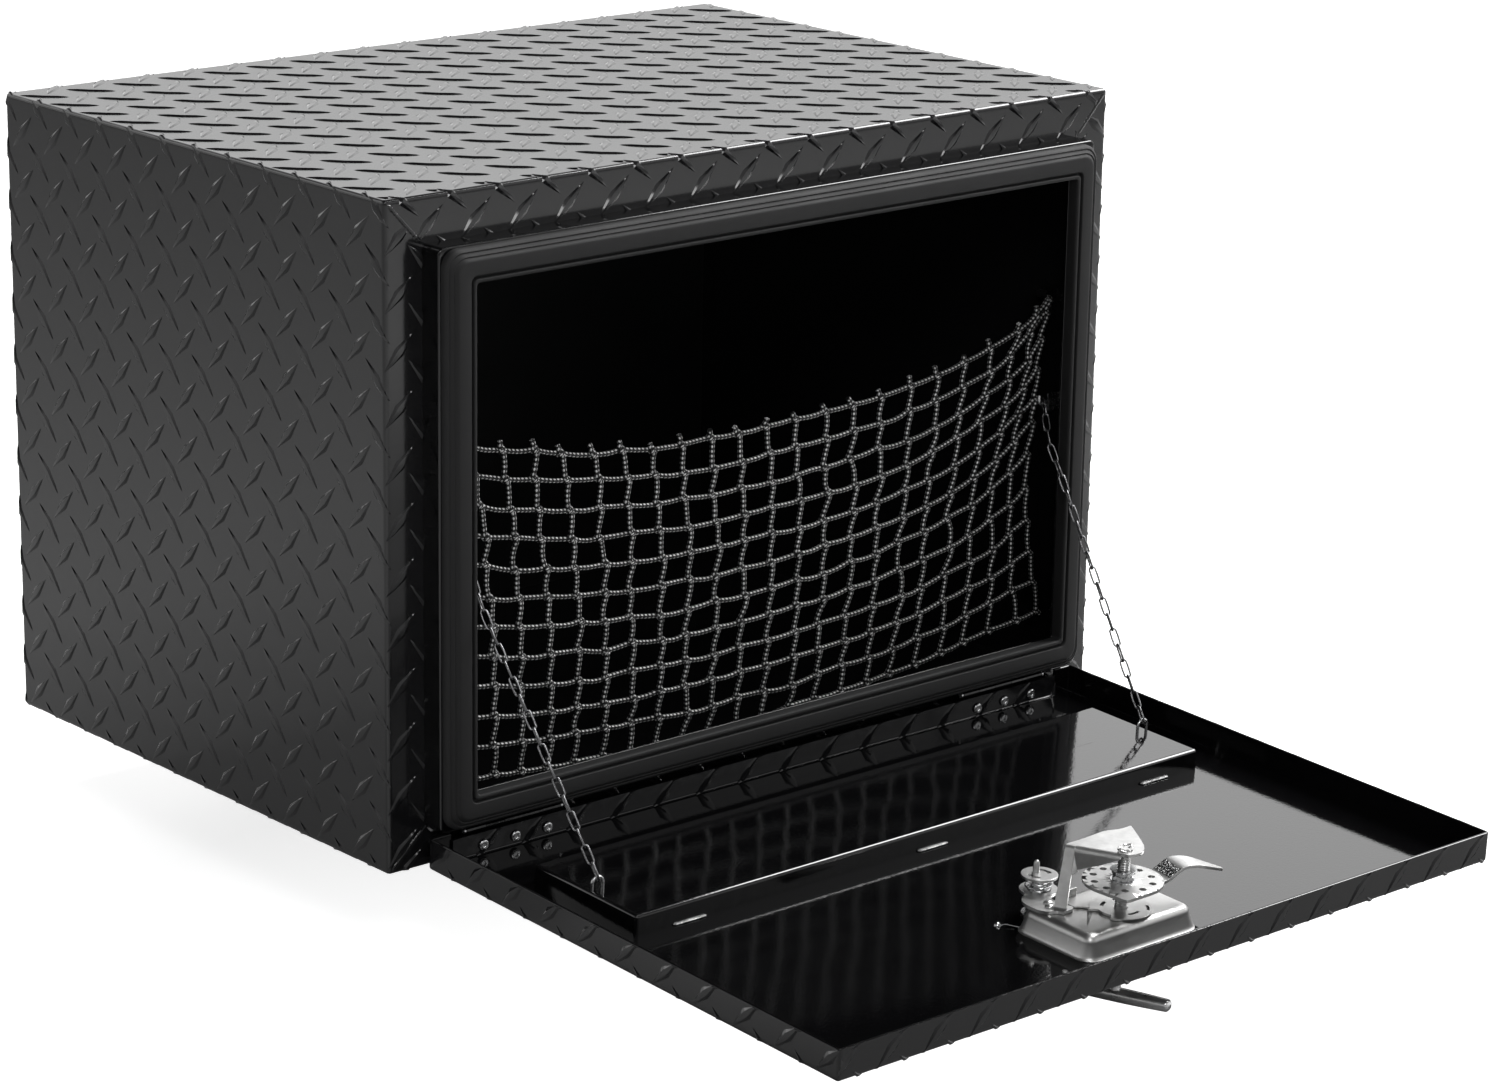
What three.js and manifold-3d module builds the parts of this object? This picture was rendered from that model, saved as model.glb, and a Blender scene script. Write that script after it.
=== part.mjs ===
// Underbody truck tool box of tread plate with a drop-down door, shown open.
// Frame: millimetres, X to the right, Y to the back, Z up.
// The origin is the middle of the bottom face, where an underbody bracket carries the box.
// Door parts sit in a group whose origin is the hinge axis: there -Y runs to the door's
// free edge and +Z is the door's inner side.
import * as THREE from 'three';
import { mergeVertices } from 'three/addons/utils/BufferGeometryUtils.js';
import Module from 'manifold-3d';

const wasm = await Module();
wasm.setup();

// Driving dimensions: case.
const box_width = 610;
const box_depth = 420;
const box_height = 428;
const tread_thickness = 2.8;
const sheet_thickness = 2;
const border_side = 28.5;
const border_top = 30.5;
const border_bottom = 26.5;
const mitre_gap = 0.3;
const border_corner_radius = 7.5;
const cut_margin = 1;

// Driving dimensions: door frame and seal.
const frame_proud = 16;
const frame_flange_width = 23;
const frame_corner_radius = 8;
const seal_height = 8.8;
const seal_base_height = 5.6;
const seal_rib_width = 4.6;
const seal_groove_width = 2.6;
const seal_mid_width = 8.2;
const seal_inner_radius = 4;

// Driving dimensions: door.
const door_sag = THREE.MathUtils.degToRad(2.1);
const axis_before_front = 7.9;
const axis_below_frame = 5.4;
const rest_gap = 0.3;
const seal_clearance = 0.4;
const door_side_clearance = 1.7;
const door_top_clearance = 2.5;
const door_lip_depth = 21.5;
const door_rear_reach = 0.8;
const door_stub_width = 17;
const rail_thickness = 1.5;

// Driving dimensions: hinges.
const hinge_length = 75;
const hinge_inset = 62.5;
const leaf_thickness = 1.2;
const leaf_height = 19.4;
const door_leaf_height = 17;
const pin_radius = 1.1;
const pin_bore_clearance = 0.25;
const pin_head_radius = 1.9;
const pin_head_length = 1.4;
const hinge_screw_pitch = 25.5;
const hinge_screw_drop = 11;
const screw_radius = 1.8;
const screw_head_radius = 3.6;
const screw_head_height = 1.1;
const screw_tail = 1.2;
const hole_clearance = 0.3;

// Driving dimensions: stiffener.
const stiffener_inset = 34.2;
const stiffener_back = 60;
const stiffener_width = 100;
const stiffener_top = 13.2;
const stiffener_sheet = 1.8;
const weld_length = 26;
const weld_leg = 3;
const weld_share = 0.83;

// Driving dimensions: latch.
const spindle_from_edge = 55.8;
const spindle_radius = 4;
const spindle_below = 2;
const spindle_above = 60;
const thread_radius = 3.6;
const pan_shift = -2;
const pan_half = 47.5;
const pan_back = 40.4;
const pan_front = 23;
const pan_slope_side = 8;
const pan_slope_back = 6.4;
const pan_slope_front = 7;
const pan_height = 18;
const pan_sheet = 1.5;
const pan_flange = 7;
const detent_radius = 19;
const detent_thickness = 1.4;
const cam_level = 36;
const cam_thickness = 2;
const cam_radius = 25;
const cam_tip_radius = 34;
const cam_hole_circle = 18.6;
const cam_hole_radius = 2.3;
const nut_radius = 7.4;
const nut_height = 2.8;
const pawl_sheet = 2;
const pawl_half_width = 9;
const pawl_tip_half_width = 6.5;
const pawl_reach = 71.6;
const pawl_root_reach = 12;
const pawl_rise_from = 28;
const pawl_rise_to = 40;
const pawl_fall_from = 51;
const pawl_hump = 6;
const pawl_tip_drop = 3.2;
const pawl_rest = THREE.MathUtils.degToRad(12);
const bridge_sheet = 2;
const bridge_level = 55;
const bridge_foot_plan = [[-46, 38], [-46, 24], [-43, 20], [-38, 18.5], [-33, 14.5], [-28, 13.5], [-24.5, 16], [-30, 27], [-24, 42], [-30, 50], [-40, 46]];
const bridge_lobe_radius = 12;
const bridge_turn = 28.1;
const bridge_leg_foot = -19.5;
const bridge_leg_top = -7.1;
const bridge_leg_across = [29, 35];
const bridge_web = [[30, 14], [20, 12], [12, 9], [4, 4], [0, 1]];
const bridge_plan = [
  [-23.8, 26.6],
  [-13.5, 10.5],
  [-5.5, -5.5],
  [1.8, -9.2],
  [9, -7.5],
  [14.2, -2.5],
  [20.5, 7],
  [31.7, 26],
  [21.7, 25.5],
  [12.6, 29.5],
  [-4.6, 28],
];
const bridge_rivets = [[-33.2, 29.3], [-36.9, 24.4]];
const rivet_radius = 1.6;
const rivet_head_radius = 3;
const rivet_head_height = 1.3;
const lock_x = -21.5;
const lock_back = 49.5;
const lock_radius = 7.5;
const lock_flange_radius = 9.5;
const lock_flange_height = 2;
const lock_level = 25;
const lock_plug_radius = 4.5;
const lock_disc_radius = 11.5;
const lock_disc_thickness = 1.6;
const lock_disc_level = 28;
const lock_pin_radius = 1.6;
const lock_pin_offset = 3;
const lock_pin_height = 10;
const key_slot_width = 1.4;
const key_slot_length = 6;
const key_slot_depth = 3;
const floor_rivet_x = -54;
const floor_rivet_back = 51;
const tab_x = [-22, -9];
const tab_back = [19, 30];
const tab_height = 7;
const tab_sheet = 1.2;

// Driving dimensions: turning handle.
const pivot_drop = 7;
const yoke_half = 7.5;
const yoke_cheek = 3;
const yoke_bottom = 12;
const yoke_bridge = 4;
const handle_eye_radius = 4.6;
const handle_pin_radius = 1.5;
const handle_drop = 31;
const handle_bar_half = 36.5;
const handle_bar_radius = 4.4;
const handle_bar_end_radius = 3.2;
const handle_bar_taper = 8;
const handle_shank_radius = 3.4;
const handle_direction = THREE.MathUtils.degToRad(-66);

// Driving dimensions: chains, hooks and net.
const hook_height = 213;
const hook_inset = 19.5;
const hook_strap_reach = 15.5;
const hook_strap_half = 6;
const hook_rod_radius = 1.5;
const hook_rod_reach = 25.5;
const hook_tip_rise = 6;
const chain_pitch = 11.4;
const chain_wire = 0.9;
const chain_end_radius = 2.9;
const chain_half_length = 6.4;
const chain_seat_gap = 0.8;
const chain_seal_clearance = 4.4;
const chain_bend_drop = 47;
const chain_bend_lead = 4;
const chain_eye_inset = 2.8;
const chain_eye_back = 54;
const staple_half = 4.2;
const staple_rise = 8;
const staple_wire = 1.1;
const net_side_clearance = 5;
const net_setback = 42;
const net_belly = 9;
const net_cord = 4;
const net_top_low = 228;
const net_top_rise_left = 56;
const net_top_rise_right = 47;
const net_bottom_low = 27;
const net_bottom_rise = 12;
const net_lean = 16;
const net_columns = 18;
const net_rows = 10;
const net_hook_arm = 6.6;
const net_hook_width = 8;
const net_hook_height = 14;
const net_hook_levels = [40, 196, 275];

// Places that follow from the dimensions.
const half_width = box_width / 2;
const front_y = -box_depth / 2;
const back_y = box_depth / 2;
const border_back_y = front_y + tread_thickness;
const inner_half = half_width - tread_thickness;
const frame_half = half_width - border_side;
const frame_low = border_bottom;
const frame_high = box_height - border_top;
const frame_face_y = front_y - frame_proud;
const seal_face_y = frame_face_y - seal_height;
const opening_half = frame_half - frame_flange_width;
const axis_y = front_y - axis_before_front;
const axis_z = frame_low - axis_below_frame;
const floor_z = seal_face_y - seal_clearance - axis_y;
const outer_z = floor_z - tread_thickness;
const rim_z = outer_z + door_lip_depth;
const door_half = frame_half + door_side_clearance + tread_thickness;
const free_y = axis_z - frame_high - door_top_clearance - tread_thickness;
const rear_inner_y = door_rear_reach - tread_thickness;
const knuckle_radius = door_rear_reach + rest_gap + leaf_thickness;
const lip_low_z = -knuckle_radius - rest_gap;
const hinge_middle = frame_half - hinge_inset;
const spindle_y = free_y + spindle_from_edge;
const knuckle_count = 5;
const pan_top_z = outer_z + pan_height;

const looks = {
  tread: { color: 0x17181a, roughness: 0.36, metalness: 0.2 },
  inside: { color: 0x0b0b0c, roughness: 0.3, metalness: 0.1 },
  frame: { color: 0x121315, roughness: 0.28, metalness: 0.1 },
  seal: { color: 0x1b1c1d, roughness: 0.75, metalness: 0 },
  door: { color: 0x0e0f10, roughness: 0.12, metalness: 0.15 },
  zinc: { color: 0xa9acb0, roughness: 0.34, metalness: 0.9 },
  stainless: { color: 0xc6c8ca, roughness: 0.24, metalness: 0.95 },
  cord: { color: 0x2d2e30, roughness: 0.85, metalness: 0 },
};

// A closed three.js geometry as a solid that can be joined and cut.
function solid(geometry) {
  const bare = geometry.clone();
  bare.deleteAttribute('normal');
  bare.deleteAttribute('uv');
  const merged = mergeVertices(bare);
  return new wasm.Manifold(new wasm.Mesh({
    numProp: 3,
    vertProperties: new Float32Array(merged.attributes.position.array),
    triVerts: new Uint32Array(merged.index.array),
  }));
}

// A named mesh of one solid, with flat-shaded faces and a material of its own.
function piece(parent, name, body, look) {
  const mesh = body.getMesh();
  const geometry = new THREE.BufferGeometry();
  geometry.setAttribute('position', new THREE.BufferAttribute(new Float32Array(mesh.vertProperties), 3));
  geometry.setIndex(new THREE.BufferAttribute(new Uint32Array(mesh.triVerts), 1));
  const flat = geometry.toNonIndexed();
  flat.computeVertexNormals();
  const node = new THREE.Mesh(flat, new THREE.MeshStandardMaterial(looks[look]));
  node.name = name;
  parent.add(node);
  return node;
}

// A box whose faces lie exactly on the given limits; the top face may have limits of its own.
function block(x, y, z, top_x = x, top_y = y) {
  const geometry = new THREE.BoxGeometry();
  const place = geometry.attributes.position;
  for (let i = 0; i < place.count; i += 1) {
    const side = place.getX(i) > 0 ? 1 : 0;
    const depth = place.getY(i) > 0 ? 1 : 0;
    const level = place.getZ(i) > 0 ? 1 : 0;
    const across = level ? top_x : x;
    const along = level ? top_y : y;
    place.setXYZ(i, across[side], along[depth], z[level]);
  }
  return solid(geometry);
}

// A flat outline carried along one axis: outline (y, z) for x, (x, z) for y, (x, y) for z.
function prism(outline, span, axis) {
  const shape = new THREE.Shape(outline.map(([a, b]) => new THREE.Vector2(a, b)));
  const geometry = new THREE.ExtrudeGeometry(shape, { depth: 1, steps: 1, bevelEnabled: false });
  const place = geometry.attributes.position;
  for (let i = 0; i < place.count; i += 1) {
    const a = place.getX(i);
    const b = place.getY(i);
    const end = place.getZ(i) > 0.5 ? 1 : 0;
    if (axis === 'x') place.setXYZ(i, span[end], a, b);
    if (axis === 'y') place.setXYZ(i, a, span[1 - end], b);
    if (axis === 'z') place.setXYZ(i, a, b, span[end]);
  }
  return solid(geometry);
}

// A round bar along one axis, with its middle line through the point (a, b) of the other two.
function rod(radius, span, axis, a, b, sides = 12, end_radius = radius) {
  const length = span[1] - span[0];
  const geometry = new THREE.CylinderGeometry(end_radius, radius, length, sides);
  geometry.translate(0, (span[0] + span[1]) / 2, 0);
  if (axis === 'x') geometry.rotateZ(-Math.PI / 2);
  if (axis === 'z') geometry.rotateX(Math.PI / 2);
  if (axis === 'x') geometry.translate(0, a, b);
  if (axis === 'y') geometry.translate(a, 0, b);
  if (axis === 'z') geometry.translate(a, b, 0);
  return solid(geometry);
}

function joined(bodies) {
  return bodies.reduce((whole, next) => whole.add(next));
}

function cut(body, tools) {
  return tools.reduce((whole, next) => whole.subtract(next), body);
}

// The outline of an upright rectangle with rounded corners.
function rounded(half, low, high, radius, steps = 4) {
  const outline = [];
  const centres = [
    [half - radius, low + radius, -Math.PI / 2],
    [half - radius, high - radius, 0],
    [radius - half, high - radius, Math.PI / 2],
    [radius - half, low + radius, Math.PI],
  ];
  for (const [x, z, start] of centres) {
    for (let i = 0; i <= steps; i += 1) {
      const angle = start + Math.PI / 2 * i / steps;
      outline.push([x + radius * Math.cos(angle), z + radius * Math.sin(angle)]);
    }
  }
  return outline;
}

// A flat ring between the frame outline drawn in by `from` and by `to`.
function frame_ring(from, to, span) {
  const outer_radius = Math.max(frame_corner_radius - from, seal_inner_radius);
  const inner_radius = Math.max(frame_corner_radius - to, seal_inner_radius);
  const outer = rounded(frame_half - from, frame_low + from, frame_high - from, outer_radius);
  const inner = rounded(frame_half - to, frame_low + to, frame_high - to, inner_radius);
  const through = [span[0] - cut_margin, span[1] + cut_margin];
  return prism(outer, span, 'y').subtract(prism(inner, through, 'y'));
}

// Case.
function border_strip(outline) {
  const strip = prism(outline, [front_y, border_back_y], 'y');
  const through = [front_y - cut_margin, border_back_y + cut_margin];
  return strip.subtract(prism(rounded(frame_half, frame_low, frame_high, border_corner_radius), through, 'y'));
}

function case_panels(part) {
  const plate_y = [border_back_y, back_y];
  const level = box_height - tread_thickness;
  const top_rim = [
    [half_width, box_height],
    [-half_width, box_height],
    [-frame_half, frame_high],
    [frame_half, frame_high],
  ];
  const top = block([-half_width, half_width], plate_y, [level, box_height]).add(border_strip(top_rim));
  piece(part, 'top_panel', top, 'tread');

  const bottom_rim = [[-half_width, 0], [half_width, 0], [frame_half, frame_low], [-frame_half, frame_low]];
  const bottom = block([-half_width, half_width], plate_y, [0, tread_thickness]).add(border_strip(bottom_rim));
  piece(part, 'bottom_panel', bottom, 'tread');

  for (const side of [-1, 1]) {
    const x = [side * half_width, side * inner_half].sort((a, b) => a - b);
    const rim = [
      [side * half_width, mitre_gap],
      [side * half_width, box_height - mitre_gap],
      [side * frame_half, frame_high - mitre_gap],
      [side * frame_half, frame_low + mitre_gap],
    ];
    const wall = block(x, plate_y, [tread_thickness, level]);
    const name = side < 0 ? 'side_panel_left' : 'side_panel_right';
    piece(part, name, wall.add(border_strip(rim)), 'tread');
  }
  const back = block([-inner_half, inner_half], [back_y - sheet_thickness, back_y], [tread_thickness, level]);
  piece(part, 'back_panel', back, 'inside');
}

function door_frame(part) {
  const wall = frame_ring(0, sheet_thickness, [frame_face_y, border_back_y]);
  const flange = frame_ring(0, frame_flange_width, [frame_face_y, frame_face_y + sheet_thickness]);
  piece(part, 'door_frame', wall.add(flange), 'frame');
}

function door_seal(part) {
  const base_y = frame_face_y - seal_base_height;
  const rib_end = frame_flange_width - seal_rib_width;
  const mid_from = seal_rib_width + seal_groove_width;
  const seal = joined([
    frame_ring(0, frame_flange_width, [base_y, frame_face_y]),
    frame_ring(0, seal_rib_width, [seal_face_y, base_y]),
    frame_ring(mid_from, mid_from + seal_mid_width, [seal_face_y, base_y]),
    frame_ring(rib_end, frame_flange_width, [seal_face_y, base_y]),
  ]);
  piece(part, 'door_seal', seal, 'seal');
}

// Hinges.
function hinge_screw_places() {
  return [-1, 1].flatMap((side) => [-1, 0, 1].map((step) => side * hinge_middle + step * hinge_screw_pitch));
}

// The five knuckles of one hinge: every second one belongs to the same leaf.
function knuckles(middle, first) {
  const pitch = (hinge_length + rest_gap) / knuckle_count;
  const spans = [];
  for (let i = first; i < knuckle_count; i += 2) {
    const start = middle - hinge_length / 2 + i * pitch;
    spans.push([start, start + pitch - rest_gap]);
  }
  return spans;
}

function bore(middle, y, z) {
  const reach = [middle - hinge_length / 2 - cut_margin, middle + hinge_length / 2 + cut_margin];
  return rod(pin_radius + pin_bore_clearance, reach, 'x', y, z, 8);
}

function body_leaf(part, side) {
  const middle = side * hinge_middle;
  const x = [middle - hinge_length / 2, middle + hinge_length / 2];
  const top = axis_z + knuckle_radius;
  const tab_y = axis_y + knuckle_radius + rest_gap;
  const plate = block(x, [front_y - leaf_thickness, front_y], [top - leaf_height, top]);
  const web = block(x, [tab_y, front_y], [top - leaf_thickness, top]);
  const rings = knuckles(middle, 0).flatMap((span) => [
    rod(knuckle_radius, span, 'x', axis_y, axis_z),
    block(span, [axis_y, tab_y], [top - leaf_thickness, top]),
  ]);
  const leaf = joined([plate, web, ...rings]).subtract(bore(middle, axis_y, axis_z));
  piece(part, side < 0 ? 'hinge_body_leaf_left' : 'hinge_body_leaf_right', leaf, 'frame');
}

function hinge_pin(part, side) {
  const middle = side * hinge_middle;
  const end = hinge_length / 2 + rest_gap;
  const pin = joined([
    rod(pin_radius, [middle - end, middle + end], 'x', axis_y, axis_z),
    rod(pin_head_radius, [middle - end - pin_head_length, middle - end], 'x', axis_y, axis_z),
    rod(pin_head_radius, [middle + end, middle + end + pin_head_length], 'x', axis_y, axis_z),
  ]);
  piece(part, side < 0 ? 'hinge_pin_left' : 'hinge_pin_right', pin, 'zinc');
}

function door_leaf(door, side) {
  const middle = side * hinge_middle;
  const x = [middle - hinge_length / 2, middle + hinge_length / 2];
  const y = [knuckle_radius - leaf_thickness, knuckle_radius];
  const plate = block(x, y, [-door_leaf_height, lip_low_z]);
  const rings = knuckles(middle, 1).flatMap((span) => [
    rod(knuckle_radius, span, 'x', 0, 0),
    block(span, y, [lip_low_z, 0]),
  ]);
  const holes = [-1, 0, 1].map((step) => door_screw_hole(middle + step * hinge_screw_pitch));
  const leaf = cut(joined([plate, ...rings]), [bore(middle, 0, 0), ...holes]);
  piece(door, side < 0 ? 'hinge_door_leaf_left' : 'hinge_door_leaf_right', leaf, 'frame');
}

function rail_y() {
  const back = rear_inner_y - rest_gap;
  return [back - rail_thickness, back];
}

function door_screw_hole(x) {
  const through = [rail_y()[0] - cut_margin, knuckle_radius + cut_margin];
  return rod(screw_radius + hole_clearance, through, 'y', x, -hinge_screw_drop, 8);
}

function door_screws(door) {
  const seat = rail_y()[0] - rest_gap;
  const far = knuckle_radius + rest_gap;
  hinge_screw_places().forEach((x, i) => {
    const z = -hinge_screw_drop;
    const screw = joined([
      rod(screw_radius, [seat, far + screw_tail], 'y', x, z, 8),
      rod(screw_head_radius * 0.7, [seat - screw_head_height, seat], 'y', x, z, 10, screw_head_radius),
      rod(screw_head_radius, [far, far + screw_tail], 'y', x, z, 6),
    ]);
    piece(door, `hinge_screw_${i + 1}`, screw, 'zinc');
  });
}

// Door.
function pan_opening() {
  const x = [pan_shift - pan_half - rest_gap, pan_shift + pan_half + rest_gap];
  const y = [spindle_y - pan_front - rest_gap, spindle_y + pan_back + rest_gap];
  return block(x, y, [outer_z - cut_margin, floor_z + cut_margin]);
}

function door_tray(door) {
  const shell = block([-door_half, door_half], [free_y, door_rear_reach], [outer_z, rim_z]);
  const inner = door_half - tread_thickness;
  const hollow = block([-inner, inner], [free_y + tread_thickness, rear_inner_y], [floor_z, rim_z + cut_margin]);
  const notch_half = door_half - door_stub_width;
  const notch_y = [rear_inner_y - cut_margin, door_rear_reach + cut_margin];
  const notch = block([-notch_half, notch_half], notch_y, [lip_low_z, rim_z + cut_margin]);
  const through = [outer_z - cut_margin, floor_z + cut_margin];
  const lock_hole = rod(lock_radius + hole_clearance, through, 'z', lock_x, spindle_y + lock_back, 16);
  const rivet_hole = rod(rivet_radius + hole_clearance, through, 'z', floor_rivet_x, spindle_y + floor_rivet_back, 8);
  const screw_holes = hinge_screw_places().map(door_screw_hole);
  const tray = cut(shell, [hollow, notch, pan_opening(), lock_hole, rivet_hole, ...screw_holes]);
  piece(door, 'door_tray', tray, 'door');
}

function door_rail(door) {
  const half = door_half - door_stub_width - rest_gap;
  const rail = block([-half, half], rail_y(), [floor_z + rest_gap, lip_low_z]);
  piece(door, 'door_hinge_rail', cut(rail, hinge_screw_places().map(door_screw_hole)), 'tread');
}

function stiffener_half() {
  return door_half - tread_thickness - stiffener_inset;
}

function stiffener_y() {
  const back = door_rear_reach - stiffener_back;
  return [back - stiffener_width, back];
}

function stiffener(door) {
  const half = stiffener_half();
  const y = stiffener_y();
  const top = floor_z + stiffener_top;
  const shell = block([-half, half], y, [floor_z + rest_gap, top]);
  const inner = half - stiffener_sheet;
  const hollow = block(
    [-inner, inner],
    [y[0] + stiffener_sheet, y[1] - stiffener_sheet],
    [floor_z - cut_margin, top - stiffener_sheet],
  );
  const holes = [-1, 1].flatMap((side) => [-1, 1].map((leg) => rod(
    staple_wire + hole_clearance,
    [top - stiffener_sheet - cut_margin, top + cut_margin],
    'z',
    side * (half - chain_eye_inset - staple_half) + leg * staple_half,
    chain_eye_y(),
    8,
  )));
  piece(door, 'stiffener', cut(joined([shell, ...weld_beads()]), [hollow, ...holes]), 'door');
}

// Fillet welds along the stiffener's two long edges, one piece with it.
function weld_beads() {
  const y = stiffener_y();
  const low = floor_z + rest_gap;
  const beads = [];
  for (const share of [-weld_share, 0, weld_share]) {
    const middle = share * stiffener_half();
    const x = [middle - weld_length / 2, middle + weld_length / 2];
    beads.push(prism([[y[0], low], [y[0], low + weld_leg], [y[0] - weld_leg, low]], x, 'x'));
    beads.push(prism([[y[1], low], [y[1] + weld_leg, low], [y[1], low + weld_leg]], x, 'x'));
  }
  return beads;
}

// Chains.
function chain_eye_y() {
  return stiffener_y()[1] - chain_eye_back;
}

function staple_x(side) {
  return side * (stiffener_half() - chain_eye_inset - staple_half);
}

// A bent wire: a round bar carried along a smooth path with flat ends.
function wire(points, radius, steps, sides) {
  const section = new THREE.Shape();
  for (let i = 0; i < sides; i += 1) {
    const angle = 2 * Math.PI * (i + 0.5) / sides;
    const across = radius * Math.cos(angle);
    const along = radius * Math.sin(angle);
    if (i === 0) section.moveTo(across, along);
    else section.lineTo(across, along);
  }
  section.closePath();
  const path = new THREE.CatmullRomCurve3(points.map((p) => new THREE.Vector3(...p)));
  return solid(new THREE.ExtrudeGeometry(section, { steps, bevelEnabled: false, extrudePath: path }));
}

function chain_eye(door, side) {
  const x = staple_x(side);
  const y = chain_eye_y();
  const top = floor_z + stiffener_top;
  const low = top - stiffener_sheet - staple_wire;
  const shoulder = top + staple_rise - staple_half;
  const points = [[x - staple_half, y, low], [x - staple_half, y, (low + shoulder) / 2]];
  for (let i = 0; i <= 4; i += 1) {
    const angle = Math.PI * (1 - i / 4);
    points.push([x + staple_half * Math.cos(angle), y, shoulder + staple_half * Math.sin(angle)]);
  }
  points.push([x + staple_half, y, (low + shoulder) / 2], [x + staple_half, y, low]);
  const name = side < 0 ? 'chain_eye_left' : 'chain_eye_right';
  piece(door, name, wire(points, staple_wire, 14, 6), 'zinc');
}

function chain_hook(part, side) {
  const x = (a, b) => [side * a, side * b].sort((p, q) => p - q);
  const y = border_back_y + sheet_thickness / 2;
  const root = frame_half - hook_strap_reach;
  const tip = frame_half - hook_rod_reach;
  const strap = block(
    x(root, inner_half),
    [border_back_y, border_back_y + sheet_thickness],
    [hook_height - hook_strap_half, hook_height + hook_strap_half],
  );
  const arm = rod(hook_rod_radius, x(tip, root + sheet_thickness), 'x', y, hook_height, 8);
  const rise = [hook_height, hook_height + hook_tip_rise];
  const horn = rod(hook_rod_radius, rise, 'z', side * (tip + hook_rod_radius), y, 8);
  piece(part, side < 0 ? 'chain_hook_left' : 'chain_hook_right', joined([strap, arm, horn]), 'zinc');
}

// A stadium-shaped link: a ring whose two halves are moved apart along its length.
function link_shape() {
  const ring = new THREE.TorusGeometry(chain_end_radius, chain_wire, 4, 8);
  ring.rotateZ(Math.PI / 8);
  const place = ring.attributes.position;
  const shift = chain_half_length - chain_end_radius;
  for (let i = 0; i < place.count; i += 1) {
    const along = place.getY(i);
    place.setY(i, along + Math.sign(along) * shift);
  }
  return ring;
}

// The end of a chain whose last link hangs round a bar through `point`.
function hung_on(point, next, bar_radius) {
  const reach = bar_radius + chain_wire + chain_seat_gap - (chain_half_length - chain_pitch / 2);
  return point.clone().add(point.clone().sub(next).setLength(reach));
}

// The line of one chain: from the hook, round the seal's inner edge, to the eye on the door.
function chain_path(side) {
  const eye_y = chain_eye_y();
  const eye_z = floor_z + stiffener_top + staple_rise;
  const hook_y = border_back_y + sheet_thickness / 2;
  const edge_x = side * (opening_half - chain_seal_clearance);
  const lead_y = frame_face_y + sheet_thickness + chain_bend_lead;
  const fall = chain_bend_drop / (hook_y - seal_face_y);
  const hook = new THREE.Vector3(side * (frame_half - hook_inset), hook_y, hook_height);
  const lead = new THREE.Vector3(edge_x, lead_y, hook_height - (hook_y - lead_y) * fall);
  const bend = new THREE.Vector3(edge_x, seal_face_y, hook_height - chain_bend_drop);
  const eye = new THREE.Vector3(
    staple_x(side),
    axis_y + eye_y * Math.cos(door_sag) - eye_z * Math.sin(door_sag),
    axis_z + eye_y * Math.sin(door_sag) + eye_z * Math.cos(door_sag),
  );
  return [hung_on(hook, lead, hook_rod_radius), lead, bend, hung_on(eye, bend, staple_wire)];
}

// A chain of links that touch end to end; odd links stand edge-on to even ones.
function chain(part, side) {
  const path = new THREE.CurvePath();
  const corners = chain_path(side);
  corners.slice(1).forEach((corner, i) => path.add(new THREE.LineCurve3(corners[i], corner)));
  const count = 2 * Math.round(path.getLength() / chain_pitch / 2) - 1;
  const links = [];
  for (let i = 0; i < count; i += 1) {
    const from = path.getPointAt(i / count);
    const to = path.getPointAt((i + 1) / count);
    const along = to.clone().sub(from).normalize();
    const across = new THREE.Vector3(1, 0, 0).cross(along).normalize();
    const wide = i % 2 === 0 ? across : along.clone().cross(across).normalize();
    const frame = new THREE.Matrix4().makeBasis(wide, along, wide.clone().cross(along));
    frame.setPosition(from.lerp(to, 0.5));
    links.push(solid(link_shape().applyMatrix4(frame)));
  }
  piece(part, side < 0 ? 'chain_left' : 'chain_right', joined(links), 'zinc');
}

// Net.
function net_point(u, v) {
  const t = 2 * u - 1;
  const half = inner_half - net_side_clearance;
  const rise = t < 0 ? net_top_rise_left * t * t : net_top_rise_right * t ** 2.4;
  const top = net_top_low + rise;
  const bottom = net_bottom_low + net_bottom_rise * t * t;
  const belly = net_belly * (1 - t * t) * Math.sin(Math.PI * (0.15 + 0.85 * (1 - v)));
  const lean = net_lean * (1 - t * t) * (1 - v);
  return [t * half - lean, front_y + net_setback - belly, bottom + (top - bottom) * v];
}

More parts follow.
